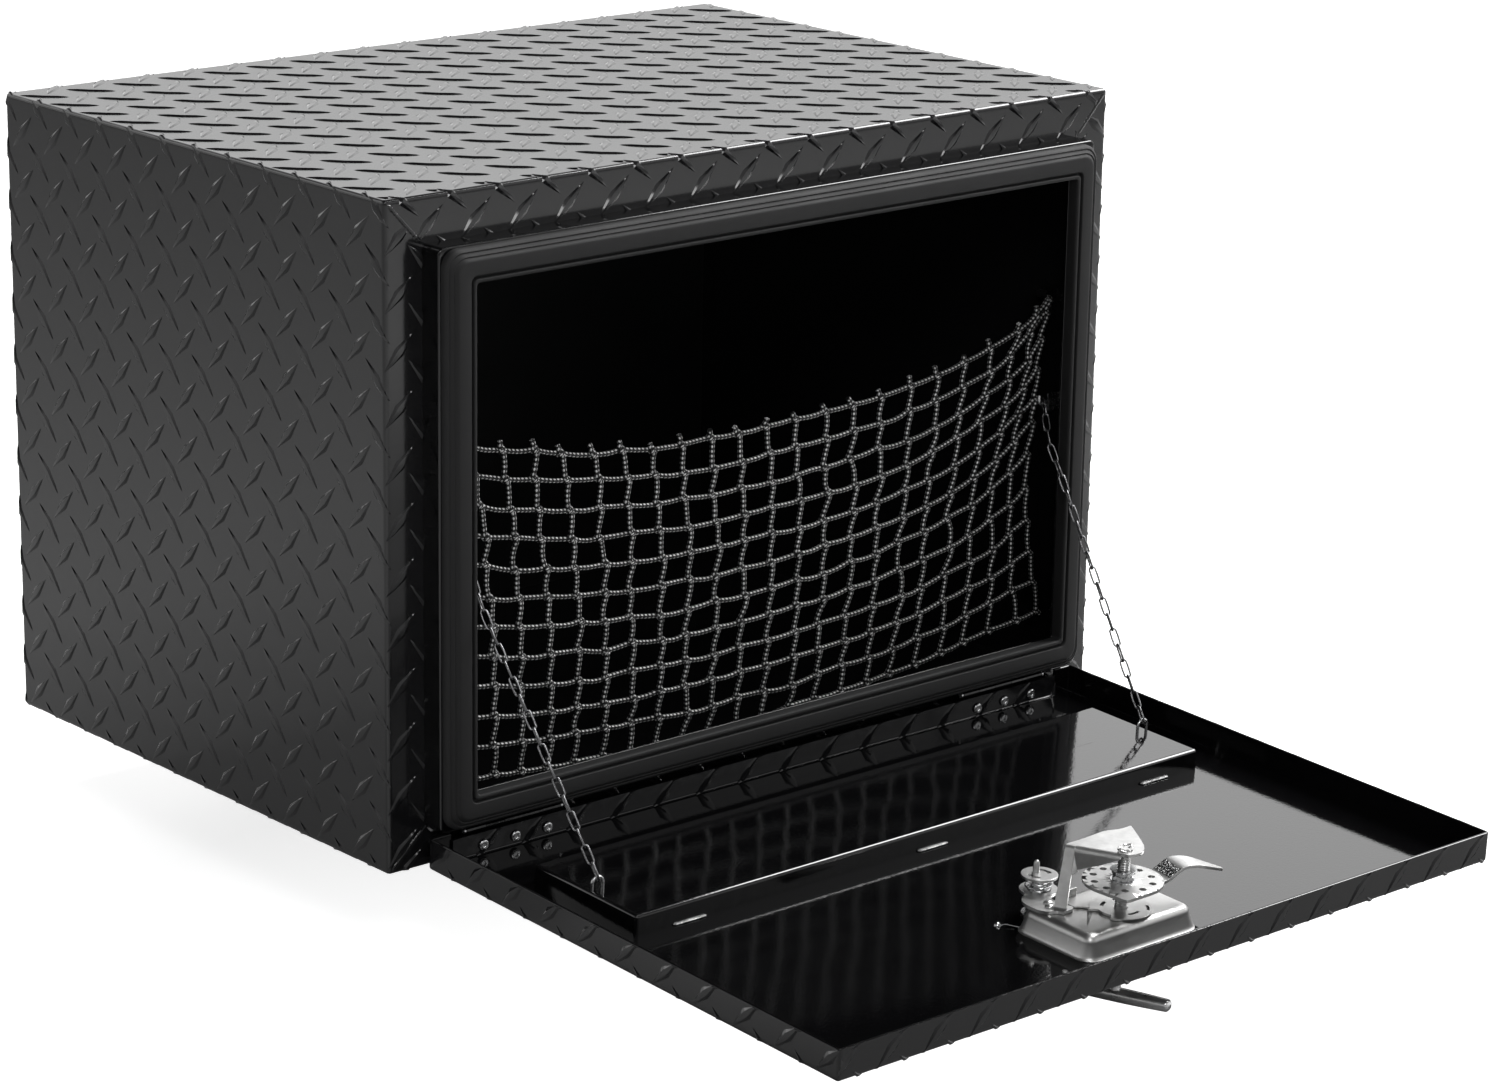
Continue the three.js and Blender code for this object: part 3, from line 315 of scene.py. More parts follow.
edge_wear, given, result = effect(
    "Edge wear", [("Vector", VECTOR, None), ("Amount", NUMBER, 0.5)], [("Mask", NUMBER)])
sharp = node(edge_wear, "ShaderNodeNewGeometry").outputs["Pointiness"]
sharp = math_node(edge_wear, "MULTIPLY", math_node(edge_wear, "SUBTRACT", sharp, 0.51), 14.0, True)
broken = node(edge_wear, "ShaderNodeTexNoise", {"Vector": given["Vector"], "Scale": 160.0,
                                                "Detail": 4.0}).outputs["Fac"]
broken = math_node(edge_wear, "MULTIPLY", math_node(edge_wear, "SUBTRACT", broken, 0.4), 4.0, True)
edge_wear.links.new(math_node(edge_wear, "MULTIPLY", math_node(
    edge_wear, "MULTIPLY", sharp, broken), given["Amount"]), result.inputs["Mask"])

dust, given, result = effect(
    "Dust", [("Vector", VECTOR, None), ("Amount", NUMBER, 0.2)], [("Mask", NUMBER)])
facing = node(dust, "ShaderNodeSeparateXYZ",
              {0: node(dust, "ShaderNodeNewGeometry").outputs["Normal"]}).outputs["Z"]
cloud = node(dust, "ShaderNodeTexNoise", {"Vector": given["Vector"], "Scale": 14.0,
                                          "Detail": 6.0, "Roughness": 0.6}).outputs["Fac"]
cloud = math_node(dust, "MULTIPLY", math_node(dust, "SUBTRACT", cloud, 0.35), 2.0, True)
dust.links.new(math_node(dust, "MULTIPLY", math_node(
    dust, "MULTIPLY", math_node(dust, "MAXIMUM", facing, 0.0), cloud), given["Amount"]),
    result.inputs["Mask"])

grain, given, result = effect(
    "Brushed grain", [("Vector", VECTOR, None), ("Stretch", VECTOR, (60.0, 1500.0, 1500.0)),
                      ("Depth", NUMBER, 0.00001)], [("Value", NUMBER), ("Normal", VECTOR)])
drawn = node(grain, "ShaderNodeVectorMath", {0: given["Vector"], 1: given["Stretch"]},
             operation="MULTIPLY").outputs[0]
lines = node(grain, "ShaderNodeTexNoise", {"Vector": drawn, "Scale": 1.0, "Detail": 3.0}).outputs["Fac"]
grain.links.new(lines, result.inputs["Value"])
grain.links.new(node(grain, "ShaderNodeBump", {"Height": lines, "Distance": given["Depth"],
                                               "Strength": 1.0}).outputs[0], result.inputs["Normal"])
print("shared effects:", [g.name for g in bpy.data.node_groups])

# %% [markdown]
# Paint and bare metal are made by two functions, so that each finish is one line of
# values. Powder coat is black, pebbled and a little lighter where it is rubbed. Bare
# metal takes its look from fine drawn lines, which bend its mirror image, and stains.

# %% Painted and bare metal finishes
def use(tree, group, **inputs):
    """A shared effect placed in a material, with its inputs set or joined."""
    placed_group = tree.nodes.new("ShaderNodeGroup")
    placed_group.node_tree = group
    for key, value in inputs.items():
        socket = placed_group.inputs[key]
        if isinstance(value, bpy.types.NodeSocket):
            tree.links.new(value, socket)
        else:
            socket.default_value = value
    return placed_group.outputs


def blended(tree, mask, a, b):
    """A colour that goes from a to b with a mask."""
    mix = node(tree, "ShaderNodeMix", data_type="RGBA")
    colour_inputs = [s for s in mix.inputs if s.type == "RGBA"]
    tree.links.new(mask, mix.inputs[0])
    for socket, value in zip(colour_inputs, (a, b)):
        if isinstance(value, bpy.types.NodeSocket):
            tree.links.new(value, socket)
        else:
            socket.default_value = (*value, 1.0)
    return [s for s in mix.outputs if s.type == "RGBA"][0]


def spread(tree, value, low, high):
    """A mask from 0 to 1 laid out between two numbers."""
    return node(tree, "ShaderNodeMapRange", {"Value": value, "To Min": low, "To Max": high}).outputs[0]


def start(name):
    """A new material: its tree, its Principled shader and its Object coordinates."""
    material = bpy.data.materials.new(name)
    material.use_nodes = True
    tree = material.node_tree
    shader = tree.nodes["Principled BSDF"]
    return material, tree, shader, node(tree, "ShaderNodeTexCoord")


def paint(name, colour, worn, rough, skin_size, skin_depth, wear, dusty, streak=0.0):
    """Powder coat: pebbled skin, lighter worn edges, dust on upper faces, faint streaks."""
    material, tree, shader, places = start(name)
    at = places.outputs["Object"]
    coat = use(tree, pebble, Vector=at, Size=skin_size, Depth=skin_depth)
    rubbed = use(tree, edge_wear, Vector=at, Amount=wear)["Mask"]
    settled = use(tree, dust, Vector=at, Amount=dusty)["Mask"]
    run = use(tree, grain, Vector=at, Stretch=(190.0, 190.0, 6.0))["Value"]
    base = blended(tree, spread(tree, run, 0.0, streak), colour, worn)
    base = blended(tree, rubbed, base, worn)
    base = blended(tree, settled, base, (0.16, 0.155, 0.15))
    tree.links.new(base, shader.inputs["Base Color"])
    smear = node(tree, "ShaderNodeTexNoise", {"Vector": at, "Scale": 22.0, "Detail": 5.0}).outputs["Fac"]
    level = math_node(tree, "ADD", spread(tree, smear, rough[0], rough[1]),
                      math_node(tree, "MULTIPLY", settled, 0.3), True)
    tree.links.new(level, shader.inputs["Roughness"])
    tree.links.new(coat["Normal"], shader.inputs["Normal"])
    return material


def metal(name, colour, dark, rough, stretch, depth, stain=0.3):
    """Bare metal: drawn grain in its normal and roughness, darker stains in its colour."""
    material, tree, shader, places = start(name)
    at = places.outputs["Object"]
    drawn_lines = use(tree, grain, Vector=at, Stretch=stretch, Depth=depth)
    cloudy = node(tree, "ShaderNodeTexNoise", {"Vector": at, "Scale": 130.0, "Detail": 5.0,
                                               "Roughness": 0.6}).outputs["Fac"]
    tree.links.new(blended(tree, spread(tree, cloudy, -0.4 * stain, 1.6 * stain), colour, dark),
                   shader.inputs["Base Color"])
    level = math_node(tree, "ADD", spread(tree, cloudy, rough[0], rough[1]),
                      math_node(tree, "MULTIPLY", drawn_lines["Value"], 0.12))
    tree.links.new(level, shader.inputs["Roughness"])
    shader.inputs["Metallic"].default_value = 1.0
    tree.links.new(drawn_lines["Normal"], shader.inputs["Normal"])
    return material


tread_paint = paint("black_powder_coat", (0.0045, 0.0045, 0.005), (0.03, 0.03, 0.031),
                    (0.1, 0.17), 240.0, 0.000014, 0.5, 0.012, 0.1)
sheet_paint = paint("black_inside_paint", (0.002, 0.002, 0.0022), (0.012, 0.012, 0.012),
                    (0.35, 0.5), 700.0, 0.00003, 0.2, 0.006)
gloss_paint = paint("gloss_black_paint", (0.0018, 0.0018, 0.002), (0.012, 0.012, 0.013),
                    (0.04, 0.08), 560.0, 0.00003, 0.25, 0.004)
# On the weld beads the streaks and the edge wear go to a light grey. These light flecks are partly rubbed
# paint and partly a painted highlight for the glints on the ripples.
weld_paint_with_painted_glints = paint("weld_with_painted_glints", (0.01, 0.01, 0.01), (0.6, 0.6, 0.6),
                   (0.16, 0.3), 900.0, 0.0004, 0.8, 0.0, 0.55)
zinc = metal("bright_zinc", (0.62, 0.625, 0.63), (0.24, 0.24, 0.25), (0.14, 0.26),
             (900.0, 900.0, 900.0), 0.00001)
chain_steel = metal("chain_steel", (0.2, 0.2, 0.205), (0.05, 0.05, 0.052), (0.12, 0.26),
                    (900.0, 900.0, 900.0), 0.00001, 0.5)
stainless = metal("brushed_stainless", (0.64, 0.64, 0.635), (0.26, 0.26, 0.26), (0.2, 0.34),
                  (90.0, 1700.0, 1700.0), 0.00001, 0.45)
pressed_steel = metal("satin_pressed_steel", (0.5, 0.5, 0.495), (0.3, 0.3, 0.3), (0.26, 0.38),
                      (120.0, 1300.0, 1300.0), 0.00001, 0.2)
print("paints and metals:", len(bpy.data.materials))

# %% [markdown]
# The seal is a matte extruded rubber. It has no gloss to speak of, a very fine skin, and
# a pale bloom that comes out in patches, so its colour wanders a little.

# %% Rubber
rubber, rubber_tree, rubber_shader, rubber_places = start("matte_seal_rubber")
rubber_at = rubber_places.outputs["Object"]
bloom = node(rubber_tree, "ShaderNodeTexNoise", {"Vector": rubber_at, "Scale": 26.0, "Detail": 6.0,
                                                 "Roughness": 0.62}).outputs["Fac"]
rubber_tree.links.new(blended(rubber_tree, bloom, (0.006, 0.006, 0.0062), (0.012, 0.012, 0.0125)),
                      rubber_shader.inputs["Base Color"])
rubber_tree.links.new(spread(rubber_tree, bloom, 0.62, 0.8), rubber_shader.inputs["Roughness"])
rubber_shader.inputs["Specular IOR Level"].default_value = 0.32
rubber_tree.links.new(use(rubber_tree, pebble, Vector=rubber_at, Size=1600.0, Depth=0.00004)["Normal"],
                      rubber_shader.inputs["Normal"])
print("materials:", [m.name for m in bpy.data.materials])

# %% [markdown]
# ## Studio
# A white floor fills the view. The box hangs from its bracket face in use; here a low
# plinth, set back from its edges, carries it so that the handle under the open door
# clears the floor. Black gloss shows nothing but what it mirrors, so the sky does most
# of the work: a thin bright band at the horizon lights the far flank of every raised
# bar, then grey, brightest between 20 and 30 degrees up, where the top and the open door
# look, and dark from 37 degrees up, which draws each raised bar in black. The sky behind
# the camera is dimmer than the sky behind the box, so faces turned to the camera mirror
# less of it. Three lamps stand in front: one to the right and a narrow one overhead for
# thin bright lines along the edges, and one to the left for the net inside. A painted
# shadow darkens the floor's colour in a disc round the door. It stands for the open door's
# wide soft shadow in what the box mirrors, so the front lip stays dark. To the camera the
# floor is lifted to white, and lifted more over the painted shadow.

# %% Floor, plinth and light
floor_level = -62.0
floor_size = 60000.0
floor_depth = 20.0
# Painted shadow: inside this disc round the door the floor's colour falls to 0.3, standing for the open
# door's soft shadow in reflections.
painted_shadow_centre, painted_shadow_inner_radius, painted_shadow_outer_radius = (0.0, -0.82, -0.062), 0.38, 0.9
stage_material, stage_tree, stage_shader, stage_places = start("pale_floor")
stage_shader.inputs["Roughness"].default_value = 0.9
stage_shader.inputs["Specular IOR Level"].default_value = 0.1
stage_at = stage_places.outputs["Object"]
speck = node(stage_tree, "ShaderNodeTexNoise", {"Vector": stage_at, "Scale": 2.0}).outputs["Fac"]
away = node(stage_tree, "ShaderNodeVectorMath", {0: stage_at, 1: painted_shadow_centre},
            operation="DISTANCE").outputs["Value"]
outside_painted_shadow = node(stage_tree, "ShaderNodeMapRange", {"Value": away, "From Min": painted_shadow_inner_radius,
                                                     "From Max": painted_shadow_outer_radius}).outputs[0]
pale = blended(stage_tree, speck, (0.79, 0.79, 0.79), (0.81, 0.81, 0.81))
stage_tree.links.new(blended(stage_tree, outside_painted_shadow, (0.3, 0.3, 0.3), pale),
                     stage_shader.inputs["Base Color"])
seen = node(stage_tree, "ShaderNodeLightPath").outputs["Is Camera Ray"]
# Camera rays get more emission over the painted shadow, so the camera sees the floor white there too.
lifted = math_node(stage_tree, "MULTIPLY", seen, spread(stage_tree, outside_painted_shadow, 1.2, 0.74))
stage_shader.inputs["Emission Color"].default_value = (1, 1, 1, 1)
stage_tree.links.new(lifted, stage_shader.inputs["Emission Strength"])


def stage_block(name, low, high):
    """A plain block of the stage, from its six faces."""
    x, y, z = zip(low, high)
    corners = np.array([[a, b, c] for c in z for b in y for a in x], float)
    faces = [(0, 2, 3, 1), (4, 5, 7, 6), (0, 1, 5, 4), (2, 6, 7, 3), (0, 4, 6, 2), (1, 3, 7, 5)]
    mesh = bpy.data.meshes.new(name)
    mesh.from_pydata((corners * MM).tolist(), [], faces)
    mesh.materials.append(stage_material)
    block = bpy.data.objects.new(name, mesh)
    bpy.context.scene.collection.objects.link(block)
    block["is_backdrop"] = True


stage_block("studio_floor", (-floor_size, -floor_size, floor_level - floor_depth),
            (floor_size, floor_size, floor_level))
stage_block("studio_plinth", (-150, -40, floor_level), (150, 190, 0))

world = bpy.data.worlds.new("soft_studio")
bpy.context.scene.world = world
world.use_nodes = True
sky = world.node_tree
toward = node(sky, "ShaderNodeTexCoord").outputs["Generated"]
height = node(sky, "ShaderNodeSeparateXYZ", {0: toward}).outputs["Z"]
band = node(sky, "ShaderNodeValToRGB", {"Fac": height})
sky_strength = 2.0
ramp_ends = {0.0: 0, 1.0: -1}
sky_levels = [(0.0, 2.0), (0.08, 1.1), (0.16, 0.9), (0.22, 1.35), (0.36, 1.95), (0.5, 1.9),
              (0.6, 0.2), (0.7, 0.05), (1.0, 0.04)]
for place, level in sky_levels:
    stops = band.color_ramp.elements
    stop = stops[ramp_ends[place]] if place in ramp_ends else stops.new(place)
    stop.color = (*[level / sky_strength] * 3, 1)
beyond_box = (0.65, 0.76, 0.0)
behind = node(sky, "ShaderNodeVectorMath", {0: toward, 1: beyond_box},
              operation="DOT_PRODUCT").outputs["Value"]
share = node(sky, "ShaderNodeMapRange", {"Value": behind, "From Min": -1.0, "From Max": 0.6,
                                         "To Min": 0.15, "To Max": 1.0}).outputs[0]
shaded = node(sky, "ShaderNodeMix", data_type="RGBA", blend_type="MULTIPLY")
shaded_inputs = [s for s in shaded.inputs if s.type == "RGBA"]
shaded.inputs[0].default_value = 1.0
sky.links.new(band.outputs["Color"], shaded_inputs[0])
sky.links.new(share, shaded_inputs[1])
shaded_output = [s for s in shaded.outputs if s.type == "RGBA"][0]
sky.links.new(shaded_output, sky.nodes["Background"].inputs["Color"])
sky.nodes["Background"].inputs["Strength"].default_value = sky_strength


def lamp(name, place, size, energy):
    """A soft rectangular lamp that looks at the box; its long side is level."""
    data = bpy.data.lights.new(name, "AREA")
    data.shape = "RECTANGLE"
    data.size, data.size_y = size
    data.energy = energy
    light = bpy.data.objects.new(name, data)
    place = np.asarray(place, float)
    aim = place / np.linalg.norm(place)
    side = np.cross([0, 0, 1], aim)
    side /= np.linalg.norm(side)
    stand = np.eye(4)
    stand[:3, 0], stand[:3, 1], stand[:3, 2], stand[:3, 3] = side, np.cross(aim, side), aim, place
    light.matrix_world = Matrix(stand.tolist())
    bpy.context.scene.collection.objects.link(light)


lamp("edge_lamp", (1.9, -0.34, 1.9), (1.5, 1.3), 110)
lamp("front_lamp", (-1.1, -2.1, 1.85), (0.8, 0.8), 18)
lamp("line_lamp", (0.3, -1.3, 2.7), (2.6, 0.1), 12)
bpy.context.scene.view_settings.view_transform = "Standard"
bpy.context.scene.view_settings.look = "None"
print("stage and light ready")

# %% [markdown]
# ## The tread pattern
# Tread plate is flat sheet with raised bars rolled into it: two families of short bars,
# each at 45 degrees and set between the bars of the other. The pattern is rolled before
# the sheet is bent, so bars run over the folds and are cut by the plate's edges. They
# are worked out on the flat sheet (across, along, rise) and then folded with it.

# %% One raised bar, and the pattern
bar_half_length = 16.8
bar_half_width = 4.2
bar_height = 0.95
bar_reach = 9.0
pattern_pitch = 36.0


def bar_points():
    """One bar: a long kite whose half width falls off almost straight towards both tips,
    with a flat top and wide flanks that slope at about 25 degrees."""
    a = np.array([-1, -0.86, -0.55, 0, 0.55, 0.86, 1.0])[:, None]
    b = np.array([-1, -0.45, 0, 0.45, 1.0])[None]
    width = bar_half_width * (1 - np.abs(a) ** 1.15)
    rise = (1 - np.abs(a) ** 5) * np.interp(np.abs(b), [0, 0.45, 1], [1, 0.97, -0.12])
    return bar_half_length * a + 0 * b, width * b, bar_height * rise


def bars(across, along, phase, pitch, fold, slope=-1, skip=None):
    """The bars of one plate. Centres form a grid of pitch across and along from phase;
    the second family sits half a pitch off both ways and slopes the other way. A bar
    whose centre is up to bar_reach past an edge is kept, and fold cuts it there."""
    parts = []
    length, width, rise = bar_points()
    for family, turn in ((0.0, slope), (0.5, -slope)):
        u, v = [np.arange(np.floor((span[0] - at) / step) - 1, np.ceil((span[1] - at) / step) + 1)
                for span, at, step in zip((across, along), phase, pitch)]
        u, v = np.meshgrid((u + family) * pitch[0] + phase[0], (v + family) * pitch[1] + phase[1])
        u, v = u.ravel(), v.ravel()
        near = (u > across[0] - bar_reach) & (u < across[1] + bar_reach)
        near &= (v > along[0] - bar_reach) & (v < along[1] + bar_reach)
        if skip is not None:
            near &= ~skip(u, v)
        u, v = u[near][:, None, None], v[near][:, None, None]
        c = math.sqrt(0.5)
        bar_u = u + c * (length - turn * width)
        bar_v = v + c * (turn * length + width)
        points = fold(bar_u, bar_v, np.broadcast_to(rise, bar_u.shape))
        n, rows, columns = points.shape[:3]
        i, j = np.meshgrid(np.arange(rows - 1), np.arange(columns - 1), indexing="ij")
        first = (i * columns + j).ravel()
        one = np.stack([first, first + columns, first + columns + 1, first + 1], -1)
        faces = (one[None] + (np.arange(n) * rows * columns)[:, None, None]).reshape(-1, 4)
        parts.append((points.reshape(-1, 3), faces, np.zeros((n * rows * columns, 2))))
    return parts


print("a bar has", 2 * 6 * 4, "triangles")

# %% [markdown]
# ## The case
# Each panel is a plate with a strip folded over the front. The four strips meet at
# mitres round the opening. Every fold is the same move: pull a point of the sharp box
# back by the fold radius, then push it out again along the direction from there.

# %% Folding plates round the case
sheet = 2.0
fold_radius = 2.6
case_low = np.array([-304.05, -209.05, 0.95])
case_high = np.array([304.05, 1e4, 427.05])
case_back = 419.05
frame_half, frame_bottom, frame_top = 276.5, 26.5, 397.5
strip_overrun = 4.0
mitre_overrun_share = 1.15
cut_bar_rise = 0.25


def rounded_box(sharp, rise, low, high, radius):
    """The sharp point, moved to a box with rounded edges and lifted by rise."""
    core = np.clip(sharp, low + radius, high - radius)
    out = sharp - core
    out = out / np.maximum(np.linalg.norm(out, axis=-1, keepdims=True), 1e-9)
    return core + out * (radius + rise[..., None])


def case_fold(face):
    """The move from (across, along, rise) on one flat plate to its place round the case,
    and where the plate starts: along is 0 at the front fold and negative on its strip."""
    strip = {"top": frame_top, "bottom": frame_bottom}.get(face, frame_half)
    edge = {"top": case_high[2], "bottom": case_low[2]}.get(face, case_high[0])
    depth = abs(edge - strip)

    def fold(u, v, rise):
        """Cut at the mitres, which close in with the share of the strip, then fold."""
        u, v, rise = np.broadcast_arrays(u, v, np.asarray(rise, float))
        share = np.clip(-v / depth, 0, mitre_overrun_share)
        if face in ("left", "right"):
            low = case_low[2] + (frame_bottom - case_low[2]) * share
            high = case_high[2] + (frame_top - case_high[2]) * share
        else:
            high = case_high[0] + (frame_half - case_high[0]) * share
            low = -high
        cut_u = np.clip(u, low, high)
        rise = np.where(cut_u != u, np.minimum(rise, cut_bar_rise), rise)
        v = np.clip(v, -depth - strip_overrun, case_back)
        y = case_low[1] + np.maximum(v, 0)
        drop = np.minimum(v, 0)
        if face == "top":
            sharp = np.stack([cut_u, y, case_high[2] + drop], -1)
        elif face == "bottom":
            sharp = np.stack([cut_u, y, case_low[2] - drop], -1)
        else:
            out = 1 if face == "right" else -1
            sharp = np.stack([out * (case_high[0] + drop), y, cut_u], -1)
        return rounded_box(sharp, rise, case_low, case_high, fold_radius)

    return fold, -depth - strip_overrun


def folded_lines(low, high, step=30.0):
    """Grid lines between two edges, close together where an edge is folded."""
    near = np.array([0, 0.6, 1.2, 1.8, 2.5, 3.4])
    middle = np.linspace(low + 8, high - 8, max(2, int((high - low) / step)))
    return np.concatenate([low + near, middle, high - near[::-1]])


def case_panel(face, phase, pitch, slope):
    """One plate: its two faces, its closed edges and its bars."""
    fold, strip_end = case_fold(face)
    upright = face in ("left", "right")
    low, high = (case_low[2], case_high[2]) if upright else (case_low[0], case_high[0])
    along = np.concatenate([np.linspace(strip_end, -6, 6), [-3.4, -2.5, -1.8, -1.2, -0.6],
                            folded_lines(0, case_back)])
    u, v = np.meshgrid(folded_lines(low, high), along)
    shrink = np.clip(-v / (-strip_end - strip_overrun), 0, mitre_overrun_share)
    if upright:
        middle = (frame_bottom + frame_top) / 2
        narrowing = np.where(u > middle, frame_top - case_high[2], frame_bottom - case_low[2])
        u = u + shrink * narrowing * np.abs(u - middle) / (high - middle)
    else:
        u = u * (1 - shrink * (case_high[0] - frame_half) / case_high[0])
    parts = shell(fold(u, v, 0 * u), fold(u, v, 0 * u - sheet))
    parts += bars((low, high), (strip_end + strip_overrun, case_back), phase, pitch, fold, slope)
    return [flipped(p) for p in parts] if face in ("bottom", "right") else parts


square = (pattern_pitch, pattern_pitch)
side_pitch = (35.3, 37.4)
for face, name, phase, pitch, slope in (
        ("top", "top_panel", (-2.0, -1.0), square, -1),
        ("bottom", "bottom_panel", (-2.0, -1.0), square, -1),
        ("left", "side_panel_left", (104.0, 45.5), side_pitch, 1),
        ("right", "side_panel_right", (104.0, 45.5), side_pitch, 1)):
    piece(f"{name}_plate", "case", [(case_panel(face, phase, pitch, slope), tread_paint)],
          [name], smooth=19)

# %% [markdown]
# The four front strips are welded at their mitres. A weld bead is a row of overlapping
# ripples, so it is carried along the mitre with a radius that swells and sinks.

# %% Mitre welds and the back
def bead(start_point, end_point, radius, above, ripples=14, seed=1):
    """A weld: a flat rounded section carried on a straight path whose width swells once
    for each ripple and wanders a little."""
    rng = np.random.default_rng(seed)
    steps = ripples * 4 + 1
    t = np.linspace(0, 1, steps)
    path = np.asarray(start_point, float) + t[:, None] * (np.asarray(end_point, float) - start_point)
    swell = 0.82 + 0.18 * np.abs(np.sin(np.pi * ripples * t)) + rng.normal(0, 0.05, steps)
    swell = swell * np.clip(np.sin(np.pi * t) * 6, 0.2, 1)
    return carried(path, circle(radius, 8) * [1, 0.45], above, size=swell)


mitre_outer, mitre_inner, mitre_y = 301.5, 277.5, -209.0
mitre_ends = ((-1, 424.3, 398.6), (1, 424.3, 398.6), (-1, 3.4, 25.5), (1, 3.4, 25.5))
mitres = [bead((x * mitre_outer, mitre_y, z0), (x * mitre_inner, mitre_y, z1), 1.5, (0, 1, 0), 12, seed)
          for seed, (x, z0, z1) in enumerate(mitre_ends)]
piece("mitre_welds", "case", [(mitres, tread_paint)], closed=True)


def slab(low, high, lines=(2, 2)):
    """A box between two corners as a front and a back face, in x and z, with closed edges."""
    u, v = np.meshgrid(np.linspace(low[0], high[0], lines[0]), np.linspace(low[2], high[2], lines[1]))
    return shell(*[np.stack([u, np.full_like(u, y), v], -1) for y in (low[1], high[1])])


back_low, back_high = (-302.2, 208.0, 2.8), (302.2, 210.0, 425.2)
piece("back_sheet", "case", [(slab(back_low, back_high, (9, 7)), sheet_paint)],
      ["back_panel"], closed=True)
weld_y, weld_radius = 209.2, 1.1
corner_beads = [bead((x, weld_y, 8), (x, weld_y, 420), weld_radius, (0, 1, 0), 150, 7)
                for x in (-302.6, 302.6)]
corner_beads += [bead((-298, weld_y, z), (298, weld_y, z), weld_radius, (0, 1, 0), 210, 9)
                 for z in (2.4, 425.6)]
piece("back_welds", "case", [(corner_beads, tread_paint)], closed=True)

# %% [markdown]
# ## Door frame and seal
# The opening has a lip that stands out from the front and turns inwards as a flange; the
# seal sits on the flange. Both are one section carried round a rectangle with rounded
# corners. The seal's section has an outer shoulder with two fine steps, a broad flat
# face and, behind one narrow groove, a thin rib along its inner edge.

# %% Frame and seal
def ring(section, corner, tighten, steps=8):
    """A section of (inset, y) pairs carried round the opening, anticlockwise seen from the
    front. A corner's radius shrinks with the inset, but never below 2 mm."""
    rows = []
    for inset, y in section:
        low, high = (-frame_half + inset, frame_bottom + inset), (frame_half - inset, frame_top - inset)
        outline = rounded_outline(low, high, max(corner - inset * tighten, 2.0), steps)
        rows.append(np.stack([outline[:, 0], np.full(len(outline), y), outline[:, 1]], -1))
    return grid(np.stack(rows))


def rounded_corner(before, corner, after, radius, steps):
    """A curve in place of a corner, (1 - t)^2 p + 2 t (1 - t) corner + t^2 q, where p and q
    lie a radius away on its two sides, or nearer where a side is short."""
    a, b = before - corner, after - corner
    r = min(radius, np.linalg.norm(a) / 2.01, np.linalg.norm(b) / 2.01)
    p, q = corner + a / np.linalg.norm(a) * r, corner + b / np.linalg.norm(b) * r
    t = np.linspace(0, 1, steps + 1)[:, None]
    return (1 - t) ** 2 * p + 2 * t * (1 - t) * corner + t**2 * q


def rounded_section(corners, radii, steps=3):
    """A closed loop of corners, each rounded with its own radius."""
    corners = np.asarray(corners, float)
    loop = np.concatenate([
        rounded_corner(*around, radius, steps)
        for *around, radius in zip(np.roll(corners, 1, 0), corners, np.roll(corners, -1, 0), radii)])
    return np.concatenate([loop, loop[:1]])


frame_section = rounded_section([(0, -207.2), (0, -226), (23, -226), (23, -224), (2, -224), (2, -207.2)],
                                [0.2, 1.3, 0.6, 0.6, 0.5, 0.2], 4)
piece("door_frame_lip", "case", [([ring(frame_section, 4.5, 1.0)], gloss_paint)],
      ["door_frame"], closed=True)

seal_section = rounded_section(
    [(1.4, -226), (1.5, -229.8), (3.6, -231.7), (4.1, -231.1), (6.2, -233.4), (6.7, -232.8), (8.6, -234.8),
     (18.1, -234.8), (18.5, -231.6), (19.9, -231.6), (20.3, -234.6), (22.4, -234.4), (23, -233), (23, -226)],
    [0.2, 1.6, 0.5, 0.2, 0.5, 0.2, 1.0, 0.7, 0.4, 0.4, 0.7, 0.7, 0.6, 0.2], 3)
piece("grooved_seal", "case", [([ring(seal_section, 12.0, 0.42, 12)], rubber)],
      ["door_seal"], closed=True)

# %% [markdown]
# ## The door
# The door is a shallow tray: one tread plate with a lip folded up on every side. The
# door's own frame has its origin on the hinge axis, with -Y towards the free edge, and
# hangs 2.1 degrees below level. The tray is made flat in that frame with the same
# folding as the case, then turned onto the hinge.

# %% The door's own frame
door_sag = math.radians(2.1)
axis_y, axis_z = -217.9, 21.1
door_outer, door_rim = -20.1, 1.4
door_half, door_free, door_rear = 280.05, -380.75, 0.0
spindle_y = -325.9


def on_door(part):
    """A part turned by the door's sag about X and moved to the hinge axis."""
    points, faces, uv = part
    x, y, z = points.T
    c, s = math.cos(door_sag), math.sin(door_sag)
    return np.stack([x, axis_y + y * c - z * s, axis_z + y * s + z * c], -1), faces, uv


def moved(part, place=(0, 0, 0), turn=0.0):
    """A part turned about Z by an angle in degrees, then moved."""
    points, faces, uv = part
    a = math.radians(turn)
    spin = np.array([[math.cos(a), math.sin(a), 0], [-math.sin(a), math.cos(a), 0], [0, 0, 1]])
    return points @ spin + np.asarray(place, float), faces, uv


def door_parts(parts):
    """Several parts set on the door."""
    return [on_door(p) for p in parts]


print("the door hangs", round(math.degrees(door_sag), 1), "degrees below level")

# %% [markdown]
# The tray is worked out like the case: a flat plate whose edges stand up as lips. The
# rear lip is lower between its ends, where the hinge strip stands. The outer face is
# tread plate, the inner face is smooth gloss paint, and a square hole takes the pan.

# %% The tray
rear_lip_top, low_lip_half = -2.6, 264.0
tray_low = np.array([-door_half, door_free, -19.15])
tray_high = np.array([door_half, door_rear, 1e4])
tray_radius = 2.4
lip_rise = door_rim - 0.7 - tray_low[2]
tray_depth = door_rear - door_free


